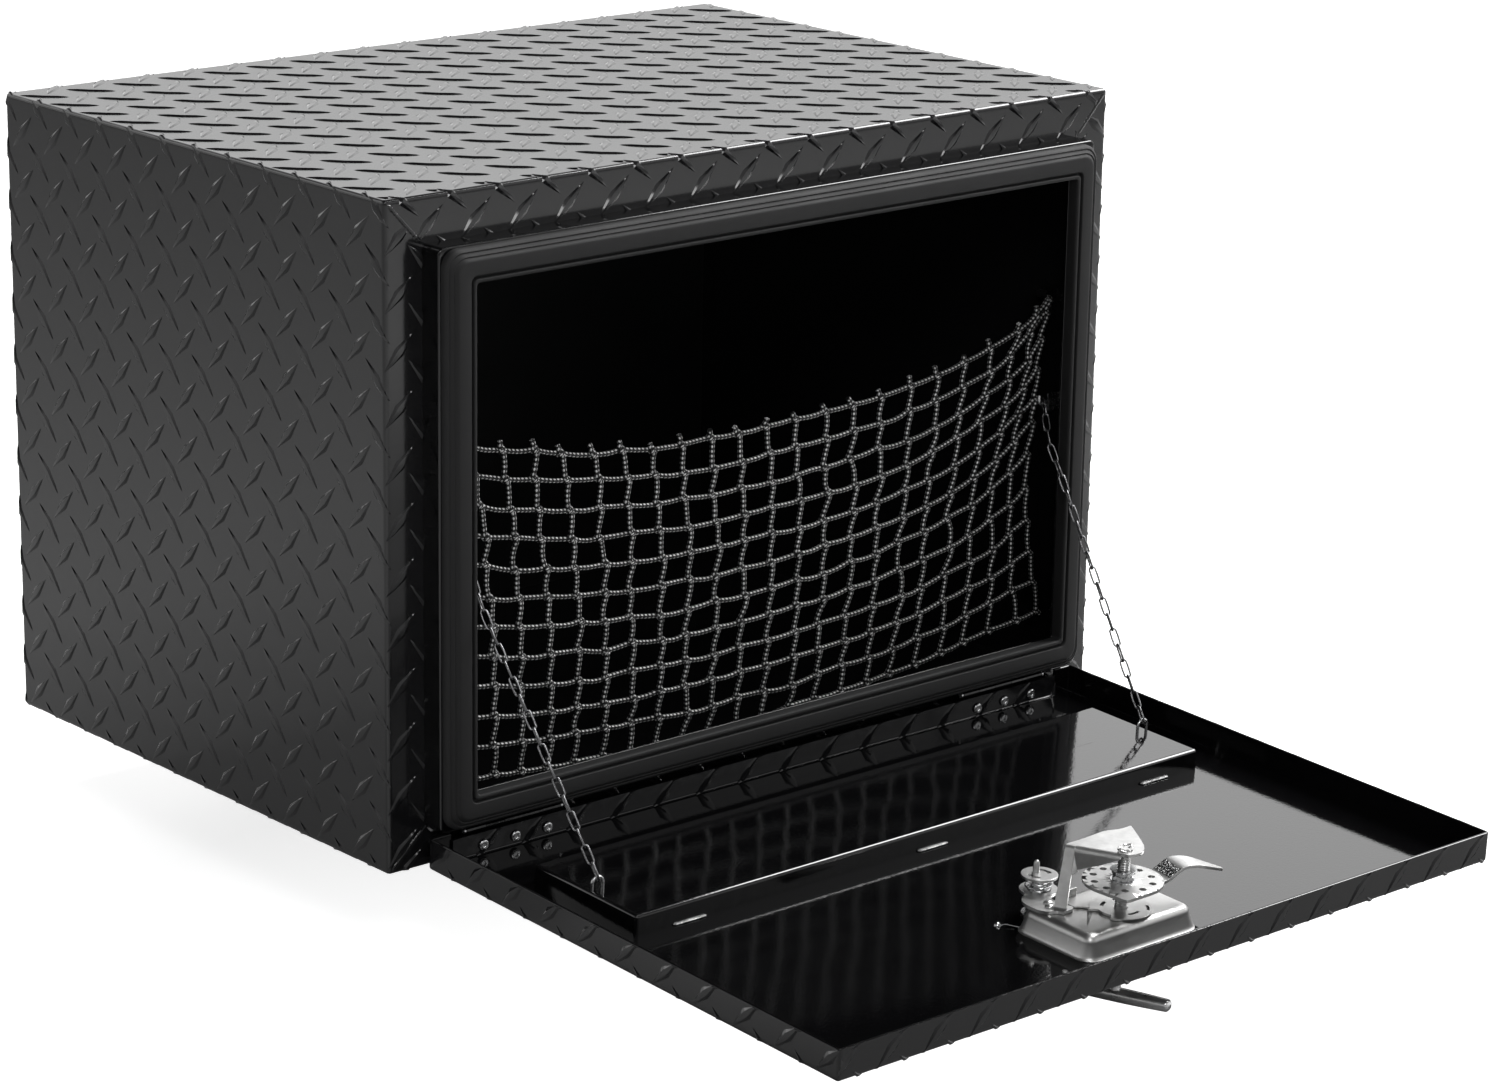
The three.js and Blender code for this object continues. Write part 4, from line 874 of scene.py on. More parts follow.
def tray_fold(u, w, rise):
    """From the flat plate (across, from the front fold back, rise) to the folded tray.
    What lies beyond an edge of the floor stands up as a lip, as high as its limit."""
    u, w, rise = np.broadcast_arrays(u, w, np.asarray(rise, float))
    x, y = np.clip(u, -door_half, door_half), np.clip(w, 0, tray_depth)
    low_part = (w > tray_depth) & (np.abs(u) < low_lip_half)
    limit = np.where(low_part, rear_lip_top - tray_low[2], lip_rise)
    lift = np.minimum(np.maximum(np.abs(u - x), np.abs(w - y)), limit)
    sharp = np.stack([x, door_free + y, tray_low[2] + lift], -1)
    return rounded_box(sharp, rise, tray_low, tray_high, tray_radius)


def round_rim(outer, inner):
    """A half-round edge between the last rows of a sheet's two faces."""
    t = np.linspace(0, np.pi, 7)[:, None, None]
    middle, half = (outer[-1] + inner[-1]) / 2, (outer[-1] - inner[-1]) / 2
    ahead = outer[-1] - outer[-2]
    ahead = ahead / np.maximum(np.linalg.norm(ahead, axis=-1, keepdims=True), 1e-9)
    return grid(middle + half * np.cos(t) + ahead * 0.7 * np.sin(t))


def tray_sheet(u_lines, w_lines):
    """The outer and inner face of one part of the tray as grids."""
    u, w = np.meshgrid(u_lines, w_lines)
    return tray_fold(u, w, 0 * u), tray_fold(u, w, 0 * u - sheet)


def without(part, open_cells):
    """A grid's faces with some of its cells left out."""
    points, faces, uv = part
    return points, faces[~open_cells.ravel()], uv


pan_hole_x, pan_hole_y = (-49.8, 45.8), (spindle_y - 23.3 - door_free, spindle_y + 40.7 - door_free)
low_lip_ends = [side * low_lip_half + step for side in (-1, 1) for step in (-0.1, 0.1)]
lip_lines = np.array([lip_rise, lip_rise - 1, 14, 9, 5, 3.8, 2.7, 1.7, 0.8])
across = np.sort(np.concatenate([folded_lines(-door_half, door_half, 40.0), pan_hole_x, low_lip_ends]))
along = np.sort(np.concatenate([-lip_lines, folded_lines(0, tray_depth, 40.0), pan_hole_y,
                                tray_depth + lip_lines]))
mid_u, mid_w = (across[1:] + across[:-1]) / 2, (along[1:] + along[:-1]) / 2
in_hole = ((mid_w > pan_hole_y[0]) & (mid_w < pan_hole_y[1]))[:, None]
in_hole = in_hole & ((mid_u > pan_hole_x[0]) & (mid_u < pan_hole_x[1]))[None]
outer, inner = tray_sheet(across, along)
outside = [without(grid(outer), in_hole)]
inside = [without(flipped(grid(inner)), in_hole), round_rim(outer, inner),
          flipped(round_rim(outer[::-1], inner[::-1]))]
for out in (-1, 1):
    lip_u = out * (door_half + np.concatenate([[0], lip_lines[::-1]]))
    outer, inner = tray_sheet(lip_u if out > 0 else lip_u[::-1], folded_lines(0, tray_depth, 40.0))
    outside.append(grid(outer))
    inside.append(flipped(grid(inner)))
    turned_outer, turned_inner = np.swapaxes(outer, 0, 1), np.swapaxes(inner, 0, 1)
    if out > 0:
        inside.append(flipped(round_rim(turned_outer, turned_inner)))
    else:
        inside.append(round_rim(turned_outer[::-1], turned_inner[::-1]))


def off_tray(u, v):
    """Bars whose middle is off the plate: past a corner, near the rear edge or at the pan."""
    past = (np.abs(u) > door_half - 2) & ((v < 2) | (v > tray_depth - 2))
    at_pan = (u > pan_hole_x[0] - pan_margin) & (u < pan_hole_x[1] + pan_margin)
    at_pan &= (v > pan_hole_y[0] - pan_margin) & (v < pan_hole_y[1] + pan_margin)
    return past | at_pan | (v > tray_depth - rear_margin)


pan_margin, rear_margin = 12.0, 6.0
lip_reach = lip_rise - 0.4
outside += bars((-door_half - lip_reach, door_half + lip_reach), (-lip_reach, tray_depth),
                (12.6, -11.0), square, tray_fold, -1, off_tray)
piece("door_tray_plate", "door", [(door_parts([flipped(p) for p in outside]), tread_paint),
                                  (door_parts([flipped(p) for p in inside]), gloss_paint)],
      ["door_tray"], smooth=19)

# %% [markdown]
# The strip that carries the hinges is a cut of the same tread plate, screwed inside the
# rear lip. Its foot turns forward in a small radius, which draws one thin bright line,
# and its bars show as short strokes.

# %% Hinge strip
strip_half, strip_face = 263.7, -3.2
strip_foot, foot_radius, strip_top = -16.9, 1.3, -2.7
foot_start = strip_foot + foot_radius


def strip_fold(u, v, rise):
    """The strip stands upright facing the free edge; its foot turns forward in a small
    radius r: forward = r (1 - sqrt(1 - k^2)) with k the share of the last r millimetres."""
    u, v, rise = np.broadcast_arrays(u, v, np.asarray(rise, float))
    share = np.clip((foot_start - v) / foot_radius, 0, 1)
    forward = foot_radius * (1 - np.sqrt(1 - share**2))
    return np.stack([np.clip(u, -strip_half, strip_half), strip_face - forward - 0.75 * rise,
                     np.clip(v, strip_foot, strip_top)], -1)


foot_lines = foot_start - foot_radius * np.sin(np.linspace(np.pi / 2, 0, 6))
u, v = np.meshgrid(np.linspace(-strip_half, strip_half, 9),
                   np.concatenate([foot_lines, [-9, strip_top + 0.1]]))
strip_parts = shell(strip_fold(u, v, 0 * u), strip_fold(u, v, 0 * u - 1.2))
strip_parts += bars((-263, 263), (-17, -2.6), (16.7, -10.0), square, strip_fold, 1)
piece("hinge_strip", "door", [(door_parts(strip_parts), tread_paint)],
      ["door_hinge_rail"], smooth=19)

# %% [markdown]
# Three screws go through each hinge: a low round head in front and a nut behind. The
# hinges' leaves and pins are CAD parts that keep their shape and only get a finish.

# %% Screws, nuts and hinges
def hexagon(across_flats, angle):
    """The radius of a hexagon at an angle."""
    part = np.mod(angle, np.pi / 3) - np.pi / 6
    return across_flats / 2 / np.cos(part)


def hex_nut(bore, across_flats, low, high, sides=48):
    """A nut: a hexagon whose corners are turned down by a cone at both ends, with a bore."""
    angle = np.linspace(0, 2 * np.pi, sides + 1)
    flat = hexagon(across_flats, angle)
    drop = (high - low) * 0.16
    rows = [(bore, low), (np.minimum(flat, across_flats / 2), low), (flat, low + drop), (flat, high - drop),
            (np.minimum(flat, across_flats / 2 + 0.1), high), (bore + 0.5, high), (bore, high - 0.5),
            (bore, low)]
    return grid(np.stack([polar(r, angle, z) for r, z in rows]))


def lying(part, place):
    """A part whose axis is Z, laid down so that its top points to -Y, then moved."""
    points, faces, uv = part
    return points @ np.array([[1, 0, 0], [0, 0, 1], [0, -1, 0]]) + np.asarray(place, float), faces, uv


screw_head = [(0, 0.35), (1.0, 0.35), (1.35, 0.95), (1.7, 1.1), (2.5, 1.02), (3.2, 0.7), (3.55, 0.3),
              (3.6, 0), (1.8, 0), (1.8, -8), (0, -8)][::-1]
hinge_x, screw_pitch, screw_z = 214.0, 25.5, -11.0
screw_places = [side * hinge_x + step * screw_pitch for side in (-1, 1) for step in (-1, 0, 1)]
for number, x in enumerate(screw_places, 1):
    parts = [lying(turned(screw_head, 24), (x, -4.1, screw_z)),
             lying(hex_nut(1.9, 6.2, -1.2, 0.0, 24), (x, 2.6, screw_z))]
    piece(f"hinge_screw_bright_{number}", "door", [(door_parts(parts), zinc)],
          [f"hinge_screw_{number}"], closed=True)
for part, finish in (("body_leaf", gloss_paint), ("door_leaf", gloss_paint), ("pin", zinc)):
    for side in ("left", "right"):
        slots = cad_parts[f"hinge_{part}_{side}"].data.materials
        slots.clear()
        slots.append(finish)
print("hinges finished")

# %% [markdown]
# ## Stiffener
# A wide flat channel lies across the door and carries the chains. It is bent from thin
# sheet, so its edges are small radii that draw long thin highlights, and three short
# welds hold each long side down.

# %% Stiffener
def loft(levels, steps=5):
    """A surface through level outlines, each a rounded rectangle (low, high, radius, z)."""
    rows = []
    for low, high, radius, z in levels:
        outline = rounded_outline(low, high, max(radius, 0.01), steps)
        rows.append(np.concatenate([outline, np.full((len(outline), 1), z)], 1))
    return grid(np.stack(rows))


def inset_levels(low, high, radius, steps):
    """Levels of (inset, z) drawn in from one rectangle; its corners tighten with the inset."""
    low, high = np.asarray(low, float), np.asarray(high, float)
    return [(low + i, high - i, max(radius - i, 0.02), z) for i, z in steps]


stiffener_low, stiffener_high = (-244.0, -159.2), (244.0, -59.2)
bend = [(2.6 * (1 - math.cos(a)), -6.7 + 2.6 * math.sin(a)) for a in np.linspace(0, np.pi / 2, 6)]
inner_face = [(49.9, -5.9), (2.4, -5.9), (1.8, -6.6), (1.8, -17.2), (0, -17.2)]
outer_face = bend + [(3.2, -4.1), (8, -4.1), (49.9, -4.1)]
channel = loft(inset_levels(stiffener_low, stiffener_high, 2.5, inner_face + outer_face))
bead_half, bead_z = 13, -16.5
beads = [bead((x - bead_half, y, bead_z), (x + bead_half, y, bead_z), 1.7, (0, 0, 1), 12, first + seed)
         for seed, x in enumerate((-202, 0, 202)) for y, first in ((-160.0, 20), (-58.4, 30))]
# The stiffener's weld beads carry painted highlights in their colour.
piece("stiffener_channel", "door", [(door_parts([channel]), gloss_paint), (door_parts(beads), weld_paint_with_painted_glints)],
      ["stiffener"], closed=True)

# %% [markdown]
# ## Chains
# Each chain runs from a hook behind the frame, round the seal's inner edge, down to a
# staple on the stiffener. One link is a round wire carried round a stadium; every second
# link stands edge-on. The chain joins two bodies; it is one mesh, tied to neither body and
# baked in place at rest.

# %% Chain links
wire_radius, link_end, link_count = 0.7, 2.2, 21
past_hook, past_staple = 2.5, 2.1


def link(centre, along, wide, half_length):
    """A closed loop of wire: half circles at both ends joined by straight sides."""
    t = np.linspace(0, 2 * np.pi, 17)
    a = link_end * np.sin(t)
    shift = np.where(np.abs(np.sin(t)) < 1e-9, 0, np.sign(np.sin(t))) * (half_length - link_end)
    w = link_end * np.cos(t)
    path = centre + (a + shift)[:, None] * along + w[:, None] * wide
    return carried(path, circle(wire_radius, 7), np.cross(along, wide), closed=True)


def chain_corners(side):
    """Hook, lead, bend and staple, in millimetres; both ends reach past their bars."""
    hook, lead = np.array([257.0, -206.2, 213.0]), np.array([249.1, -220.0, 190.32])
    turn, eye = np.array([249.1, -234.8, 166.0]), np.array([237.0, -331.17, 20.85])
    hook = hook + (hook - lead) / np.linalg.norm(hook - lead) * past_hook
    eye = eye + (eye - turn) / np.linalg.norm(eye - turn) * past_staple
    return np.stack([hook, lead, turn, eye]) * [side, 1, 1]


for side, name in ((-1, "chain_left"), (1, "chain_right")):
    corners = chain_corners(side)
    run = np.r_[0, np.cumsum(np.linalg.norm(np.diff(corners, axis=0), axis=1))]
    places = np.linspace(0, run[-1], link_count + 1)
    ends = np.stack([np.interp(places, run, corners[:, k]) for k in range(3)], -1)
    rng = np.random.default_rng(3)
    links = []
    for i in range(link_count):
        ahead = ends[i + 1] - ends[i]
        pitch = np.linalg.norm(ahead)
        ahead /= pitch
        across_link = np.cross([1.0, 0, 0], ahead)
        across_link /= np.linalg.norm(across_link)
        over_link = np.cross(ahead, across_link)
        twist = (0 if i % 2 == 0 else np.pi / 2) + rng.uniform(-0.22, 0.22) + 0.5
        wide = math.cos(twist) * across_link + math.sin(twist) * over_link
        links.append(link((ends[i] + ends[i + 1]) / 2, ahead, wide, (pitch + 2 * wire_radius) / 2))
    chain = piece(f"{name}_links", None, [(links, chain_steel)], smooth=60)
    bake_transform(chain)
    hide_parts(name)

# %% [markdown]
# ## Cargo net
# The net is worked from one kind of braided cord. Its rows and columns follow the sheet
# that the CAD net fills: the top edge sags between the hooks, the columns lean, and the
# middle bellies forward. Each cord is a tube along a slack path. At a crossing the column
# runs beside the row, steps sideways and is bound by one tight turn; above the top row
# it ends in a short cut stub.

# %% Net surface
net_columns, net_rows = 26, 11
inner_half, wall_gap, net_y = 302.2, 5, -168
net_pulls = ((296, 276, 66, 0.9), (297, 196, 22, 0.7), (-296, 275, 30, 0.4))
cord_radius = 1.7
net_rng = np.random.default_rng(11)


def net_surface(u, v):
    """u runs from left to right and v from bottom to top, about 0 to 1. The left columns
    lean inwards on their way down. Each of net_pulls is a hook's x and z, a reach and a
    share. A point at a distance d from the hook is drawn towards it by share
    exp(-d / reach), so cords fan out from the upper right hook."""
    t = 2 * u - 1
    half = inner_half - wall_gap
    rise = np.where(t < 0, 56 * t**2, 49 * np.abs(t) ** 4.5)
    top, bottom = 227 + rise, 19 + 19 * t**2
    z = bottom + (top - bottom) * v
    belly = 9 * np.clip(1 - t**2, 0, 1) * np.sin(np.pi * (0.15 + 0.85 * (1 - v)))
    drift = (1 - v) * 30 * (1 - u) ** 2
    x = t * half + drift
    pull = 21 * np.sin(np.pi * np.clip((z - 42) / 230, 0, 1))
    x = x - np.sign(t) * pull * np.exp(-(1 - np.minimum(np.abs(t), 1)) / 0.2)
    for hook_x, hook_z, reach, share in net_pulls:
        far = np.hypot(x - hook_x, z - hook_z)
        draw = share * np.exp(-far / reach)
        x, z = x + (hook_x - x) * draw, z + (hook_z - z) * draw
    return np.stack([np.clip(x, -half, half), net_y - belly, z], -1)


uu, vv = np.meshgrid(np.linspace(-0.06, 0.997, net_columns + 1), np.linspace(0.01, 0.99, net_rows + 1))
shake = net_rng.normal(0, 1, (*uu.shape, 3)) * [1.0, 0.8, 0.9]
inside_net = np.ones(uu.shape)
inside_net[:, :2] = inside_net[:, -1:] = 0.15
knots_at = net_surface(uu, vv) + shake * inside_net[..., None]
cross_over = np.array([1.7, 0.0, -1.6])


def slack_path(points, sag, steps=4):
    """A path through knots; between two knots it sags by a parabola, 4 t (1 - t) sag."""
    t = np.linspace(0, 1, steps + 1)[:-1][None, :, None]
    a, b = points[:-1, None], points[1:, None]
    bow = 4 * t * (1 - t) * sag[:, None]
    return np.concatenate([((1 - t) * a + t * b + bow).reshape(-1, 3), points[-1:]])


def crossing_path(points, over, sag):
    """A column that runs beside each row for a moment: it comes up to a knot on one side
    and leaves it on the other, so it steps sideways at every row."""
    stepped = np.stack([points + over, points - over], 1).reshape(-1, 3)
    sags = np.zeros((len(stepped) - 1, 3))
    sags[1::2] = sag
    return slack_path(stepped, sags, 3)


cords = []
for row in knots_at:
    sag = net_rng.normal(0, 0.45, (len(row) - 1, 3)) + [0, 0, -0.8]
    cords.append(carried(slack_path(row, sag), circle(cord_radius, 7)))
for number, column in enumerate(np.swapaxes(knots_at, 0, 1)):
    sag = net_rng.normal(0, 0.5, (len(column) - 1, 3))
    stub = column[-1] + [-2.4, -1.0, 6.0] + net_rng.normal(0, 1.0, 3)
    path = crossing_path(column + [0, -1.2, 0], cross_over, sag)
    if 1 < number < net_columns:
        path = np.concatenate([path, [(path[-1] + stub) / 2 + [0.8, 0, 0], stub]])
    cords.append(carried(path, circle(cord_radius, 7), (0, -1, 0)))


def knot(centre, tilt):
    """One tight turn of cord round a crossing, its plane tilted by an angle."""
    t = np.linspace(0, 2 * np.pi, 9)
    along = np.array([math.cos(tilt), 0, math.sin(tilt)])
    path = centre + 2.0 * (np.cos(t)[:, None] * along + 1.2 * np.sin(t)[:, None] * np.array([0, 1.0, 0]))
    return carried(path, circle(1.25, 6), np.cross(along, [0, 1.0, 0]), closed=True)


knots = [knot(centre + [0, -0.6, 0], net_rng.uniform(0.4, 1.2))
         for centre in knots_at[:, 1:-1].reshape(-1, 3)]
print("net:", len(knots), "knots")

# %% [markdown]
# The cord is a braid: two sets of strands wind round it opposite ways and cross. The
# pattern follows each cord, so it reads the cord's own UV map: a is the share of a turn
# and d the distance along in millimetres. Its height follows the product of two waves,
# sin(2 pi (2 a + 0.16 d)) sin(2 pi (2 a - 0.16 d)). Where that product is high, on the
# strand tops, the colour goes pale in broken flecks: a painted highlight for the light
# that the strand tops catch.

# %% Braid
braid, given, result = effect("Braid", [("UV", VECTOR, None), ("Strands", NUMBER, 2.0),
                                        ("Pitch", NUMBER, 0.16)],
                              [("Painted highlight", NUMBER), ("Height", NUMBER)])
parts = node(braid, "ShaderNodeSeparateXYZ", {0: given["UV"]})
round_it = math_node(braid, "MULTIPLY", parts.outputs["X"], given["Strands"])
along_it = math_node(braid, "MULTIPLY", parts.outputs["Y"], given["Pitch"])
waves = []
for way in ("ADD", "SUBTRACT"):
    phase = math_node(braid, way, round_it, along_it)
    waves.append(math_node(braid, "SINE", math_node(braid, "MULTIPLY", phase, 2 * math.pi)))
crossing = math_node(braid, "MULTIPLY", waves[0], waves[1])
strand_top_painted_highlight = math_node(braid, "MULTIPLY", math_node(braid, "SUBTRACT", crossing, 0.2), 3.6, True)
braid.links.new(strand_top_painted_highlight, result.inputs["Painted highlight"])
raised = math_node(braid, "ADD", math_node(braid, "MULTIPLY", crossing, 0.5), 0.5)
braid.links.new(raised, result.inputs["Height"])

cord_finish, cord_tree, cord_shader, cord_places = start("braided_black_cord")
weave = use(cord_tree, braid, UV=cord_places.outputs["UV"])
fuzz = node(cord_tree, "ShaderNodeTexNoise", {"Vector": cord_places.outputs["Object"], "Scale": 1300.0,
                                              "Detail": 3.0}).outputs["Fac"]
lit = math_node(cord_tree, "MULTIPLY", weave["Painted highlight"], spread(cord_tree, fuzz, 0.0, 1.7), True)
# Painted highlight: the strand tops' pale flecks are put into the base colour.
cord_tree.links.new(blended(cord_tree, lit, (0.002, 0.002, 0.002), (0.75, 0.75, 0.75)),
                    cord_shader.inputs["Base Color"])
cord_shader.inputs["Roughness"].default_value = 0.6
relief = node(cord_tree, "ShaderNodeBump", {"Height": weave["Height"], "Distance": 0.0006,
                                            "Strength": 0.8}).outputs[0]
cord_tree.links.new(relief, cord_shader.inputs["Normal"])
piece("cargo_net", "case", [(cords + knots, cord_finish)], ["net"], smooth=70)

# %% [markdown]
# Bent sheet is a ribbon: a path in a plane, made as thick as the sheet and as wide as its
# limits across. Each inner corner of the path is rounded.

# %% Bent sheet
def softened(obj, width):
    """Small round edges that catch the light: a bevel on edges sharper than 35 degrees."""
    bevel = obj.modifiers.new("soft_edges", "BEVEL")
    bevel.width = width * MM
    bevel.segments = 2
    bevel.limit_method = "ANGLE"
    bevel.angle_limit = math.radians(35)


def as_drawn(run, across, rise):
    """The point (run, across, rise) itself."""
    return np.stack([run, across, rise], -1)


def ribbon(path, across_low, across_high, thickness, columns=3, place=as_drawn):
    """Sheet metal bent along a path in a plane: path holds (run, rise) pairs, and each
    point has its own limits across. place puts (run, across, rise) into space."""
    path = np.asarray(path, float)
    ahead = np.gradient(path, axis=0)
    ahead /= np.linalg.norm(ahead, axis=1, keepdims=True)
    off = np.stack([-ahead[:, 1], ahead[:, 0]], -1) * thickness / 2
    low, high = np.broadcast_to(across_low, len(path)), np.broadcast_to(across_high, len(path))
    share = np.linspace(0, 1, columns)
    wide = low[:, None] * (1 - share) + high[:, None] * share
    faces = []
    for sign in (1, -1):
        p = path + sign * off
        faces.append(place(np.repeat(p[:, :1], columns, 1), wide, np.repeat(p[:, 1:], columns, 1)))
    return shell(*faces)


def bent(corners, radius, steps=4):
    """An open path of straight runs with each inner corner rounded."""
    corners = np.asarray(corners, float)
    curves = [rounded_corner(*around, radius, steps)
              for around in zip(corners[:-2], corners[1:-1], corners[2:])]
    return np.concatenate([corners[:1], *curves, corners[-1:]])


print("bent sheet helpers ready")

# %% [markdown]
# Small hooks hold the net and the chains. The net hooks are folded tabs on the side
# walls. The chain hooks are short bent rods on a strap behind the frame, and the staples
# on the stiffener are half rings on two legs.

# %% Hooks and staples
hook_heights, hook_across, wall_x = (40, 196, 275), (-165.7, -157.7), 301.2
rod_start, rod_end, rod_y, rod_z, rod_rise = 263, 252.5, -206.2, 213, 6
strap_start, strap_end = 261, 302
staple_x, staple_y, staple_foot, staple_bend = 237, -113.2, -7.5, 4.2


def on_wall(side):
    """The move of a drawn point onto one side wall: run goes away from the wall."""
    def place(run, across, rise):
        """A point of the ribbon as (x, y, z)."""
        return np.stack([side * (wall_x - run), across, rise], -1)
    return place


for side, label in ((-1, "left"), (1, "right")):
    for number, z in enumerate(hook_heights, 1):
        lip = bent([(0, z - 14), (0, z - 1), (5.6, z - 1), (5.6, z + 4)], 1.2)
        tab = ribbon(lip, *hook_across, 2.0, place=on_wall(side))
        softened(piece(f"net_hook_tab_{label}_{number}", "case", [(tab, sheet_paint)],
                       [f"net_hook_{label}_{number}"], closed=True), 0.5)
    rod = bent([(side * rod_start, rod_y, rod_z), (side * rod_end, rod_y, rod_z),
                (side * rod_end, rod_y, rod_z + rod_rise)], 2.2, 6)
    near, far = sorted((side * strap_start, side * strap_end))
    strap = slab((near, -207.1, 207), (far, -205.3, 219), (4, 3))
    piece(f"chain_hook_rod_{label}", "case", [([carried(rod, circle(1.5, 10), (0, 1, 0))] + strap, zinc)],
          [f"chain_hook_{label}"], closed=True)
    arch = [(staple_bend * math.cos(a), staple_bend * math.sin(a)) for a in np.linspace(np.pi, 0, 11)]
    staple = [(-staple_bend, staple_foot)] + arch + [(staple_bend, staple_foot)]
    wire = carried([(side * staple_x + x, staple_y, z) for x, z in staple], circle(1.1, 10), (0, 1, 0))
    piece(f"chain_staple_{label}", "door", [(door_parts([wire]), zinc)],
          [f"chain_eye_{label}"], closed=True)

# %% [markdown]
# ## Latch
# The latch is stainless. A pressed pan is let into the door, hollow below where the
# handle sits. A spindle comes up through it and carries, from below, a slotted detent
# disc, a nut, the humped pawl, a drop-shaped plate with a ring of holes, and two nuts. A
# bent bridge riveted to the pan steadies the spindle's threaded end.

# %% Pan
pan_top, pan_edge, pan_lean = -2.1, 6, 2.4


def by_spindle(parts, turn=0.0):
    """Parts made round the spindle, turned about it in degrees and set on the door."""
    return [on_door(moved(moved(p, turn=turn), (0, spindle_y, 0))) for p in parts]


def pan_level(inset, z, corner=9.0):
    """One outline of the pan, drawn in from its foot; its corners tighten with the inset."""
    return (-49.5 + inset, -23 + inset), (45.5 - inset, 40.4 - inset), max(corner - inset, 2.5), z


def pan_skin(off, foot):
    """The pan's wall and top from the foot up: a fillet that flares out onto the floor, a
    wall that leans in by pan_lean, and an edge of radius pan_edge. off draws it in as the
    sheet's inner face, which has no fillet."""
    levels = [(-0.6, foot), (0.2, -14.0)]
    if off == 0:
        levels = [(-0.6, foot), (-0.6, -17.25), (-1.7, -17.2), (-1.8, -16.9), (-1.0, -16.3),
                  (-0.5, -15.5), (0.0, -14.4), (0.4, -13.0)]
    levels += [(pan_lean + pan_edge * (1 - math.cos(a)), pan_top - pan_edge * (1 - math.sin(a)))
               for a in np.linspace(0, np.pi / 2, 9)]
    return [pan_level(i + off, z - off * 0.9) for i, z in levels] + [
        pan_level(13 + off, pan_top - off * 0.9), pan_level(31.6, pan_top - off * 0.9)]


pan_levels = pan_skin(1.3, -19.2)[::-1] + [
    pan_level(0.6, -21.9), pan_level(-6.6, -21.9), pan_level(-7, -21.2), pan_level(-6.6, -20.5),
    pan_level(-1.5, -20.4)] + pan_skin(0.0, -19.8)
piece("pressed_pan", "door", [(by_spindle([loft(pan_levels)]), pressed_steel)],
      ["latch_pan"], closed=True, smooth=60)

# %% [markdown]
# The bridge is one strap cut and bent from sheet. Its foot lies on the pan and reaches
# round the lock, a narrow leg leans up from it, and the top plate spreads over the
# spindle with one edge folded down as a web. The leg and the web follow a frame turned
# 28 degrees: p across the fold and q along it.

# %% Bridge
def flat_sheet(outline, centre, bore, low, high):
    """A flat sheet between two levels round a centre, with a bore there: rays run from
    the bore to the outline, which is seen whole from the centre."""
    outline, centre = np.asarray(outline, float), np.asarray(centre, float)
    ray = outline - centre
    loop = centre + bore * ray / np.linalg.norm(ray, axis=1, keepdims=True)
    rows = [(loop, low), (outline, low), (outline, high), (loop, high), (loop, low)]
    return grid(np.stack([np.concatenate([xy, np.full((len(xy), 1), z)], 1) for xy, z in rows]))


foot_z, top_z = pan_top + 0.3, door_outer + 55
bridge_turn = 28.1
lock_x, lock_y = -21.5, 49.5
foot_outline = rounded_section(
    [(-46, 38), (-46, 24), (-43, 19.5), (-38, 18), (-33, 14), (-28, 13.5), (-24.5, 16), (-28.5, 27),
     (-24, 42), (-30, 49), (-40, 46)],
    [4, 3, 3, 3, 2, 2, 2, 6, 4, 6, 5], 4)
lobe = circle(12.0, 48) + [lock_x, lock_y]
bridge_foot = [flat_sheet(foot_outline, (-33.5, 28), 0.0, foot_z, foot_z + 2),
               flat_sheet(lobe, (lock_x, lock_y), 7.9, foot_z + 0.05, foot_z + 1.95)]
top_outline = rounded_section(
    [(-21.8, 27.8), (-5.4, -2.9), (-4.2, -7.2), (1.8, -9.2), (9, -7.5), (14.2, -2.5), (20.5, 7), (31.7, 26),
     (21.7, 25.5), (12.6, 29.5), (-4.6, 28)],
    [0.3, 0.3, 2, 3, 4, 6, 9, 1.5, 5, 5, 5], 4)
bridge_top = [flat_sheet(top_outline, (0, 0), 4.5, top_z, top_z + 2)]
leg_path = bent([(-24.5, foot_z + 1), (-20.3, foot_z + 1), (-8.1, top_z + 1), (-5.5, top_z + 1)], 3.2, 6)
level = leg_path[:, 1]
leg = ribbon(leg_path, np.interp(level, [foot_z, 14, top_z], [28.2, 29, 29]),
             np.interp(level, [foot_z, 8, top_z + 2], [36.3, 36, 34.8]), 2.0)
share, q = np.meshgrid(np.linspace(0, 1, 12), np.linspace(31, 0, 20), indexing="ij")
drop = np.interp(q, [0, 4, 12, 20, 26, 31], [3.2, 5, 9, 12, 14.5, 16])
turn = np.clip(share * 2, 0, 1) * np.pi / 2
down = np.clip(share * 2 - 1, 0, 1) * (drop - 3)
web_faces = [np.stack([-6.1 - radius * np.sin(turn), q, top_z - 1 + radius * np.cos(turn) - down], -1)
             for radius in (3.0, 1.0)]
corners = np.array([[-8.6, 29.3, top_z - 2.5], [-13.4, 29.3, top_z - 15.2], [-8.6, 26.0, top_z - 14.0]])
gusset = [corners[[0, 0, 1, 2]].reshape(2, 2, 3) + [off, 0, 0] for off in (-0.7, 0.7)]
fold = [moved(part, (0, 0, 0), bridge_turn) for part in leg + shell(*web_faces) + shell(*gusset)]
strap = by_spindle(bridge_foot + bridge_top + fold)
softened(piece("latch_bridge_strap", "door", [(strap, stainless)],
               ["latch_bridge"], closed=True), 0.45)

# %% [markdown]
# Rivets are turned profiles with domed heads. The guide is a small sheet beside the lock
# with one edge turned up.

# %% Rivets and lock guide
def rivet_parts(x, y, low, high, head=3.0, rise=1.5):
    """A rivet with domed heads above and below the stack between two levels."""
    dome = [(head * math.sin(a), rise * math.cos(a)) for a in np.linspace(0, np.pi / 2, 7)]
    profile = [(r, low - 1.4 * z / rise) for r, z in dome] + [(1.5, low), (1.5, high)]
    return [moved(turned(profile + [(r, high + z) for r, z in dome[::-1]], 24), (x, y, 0))]


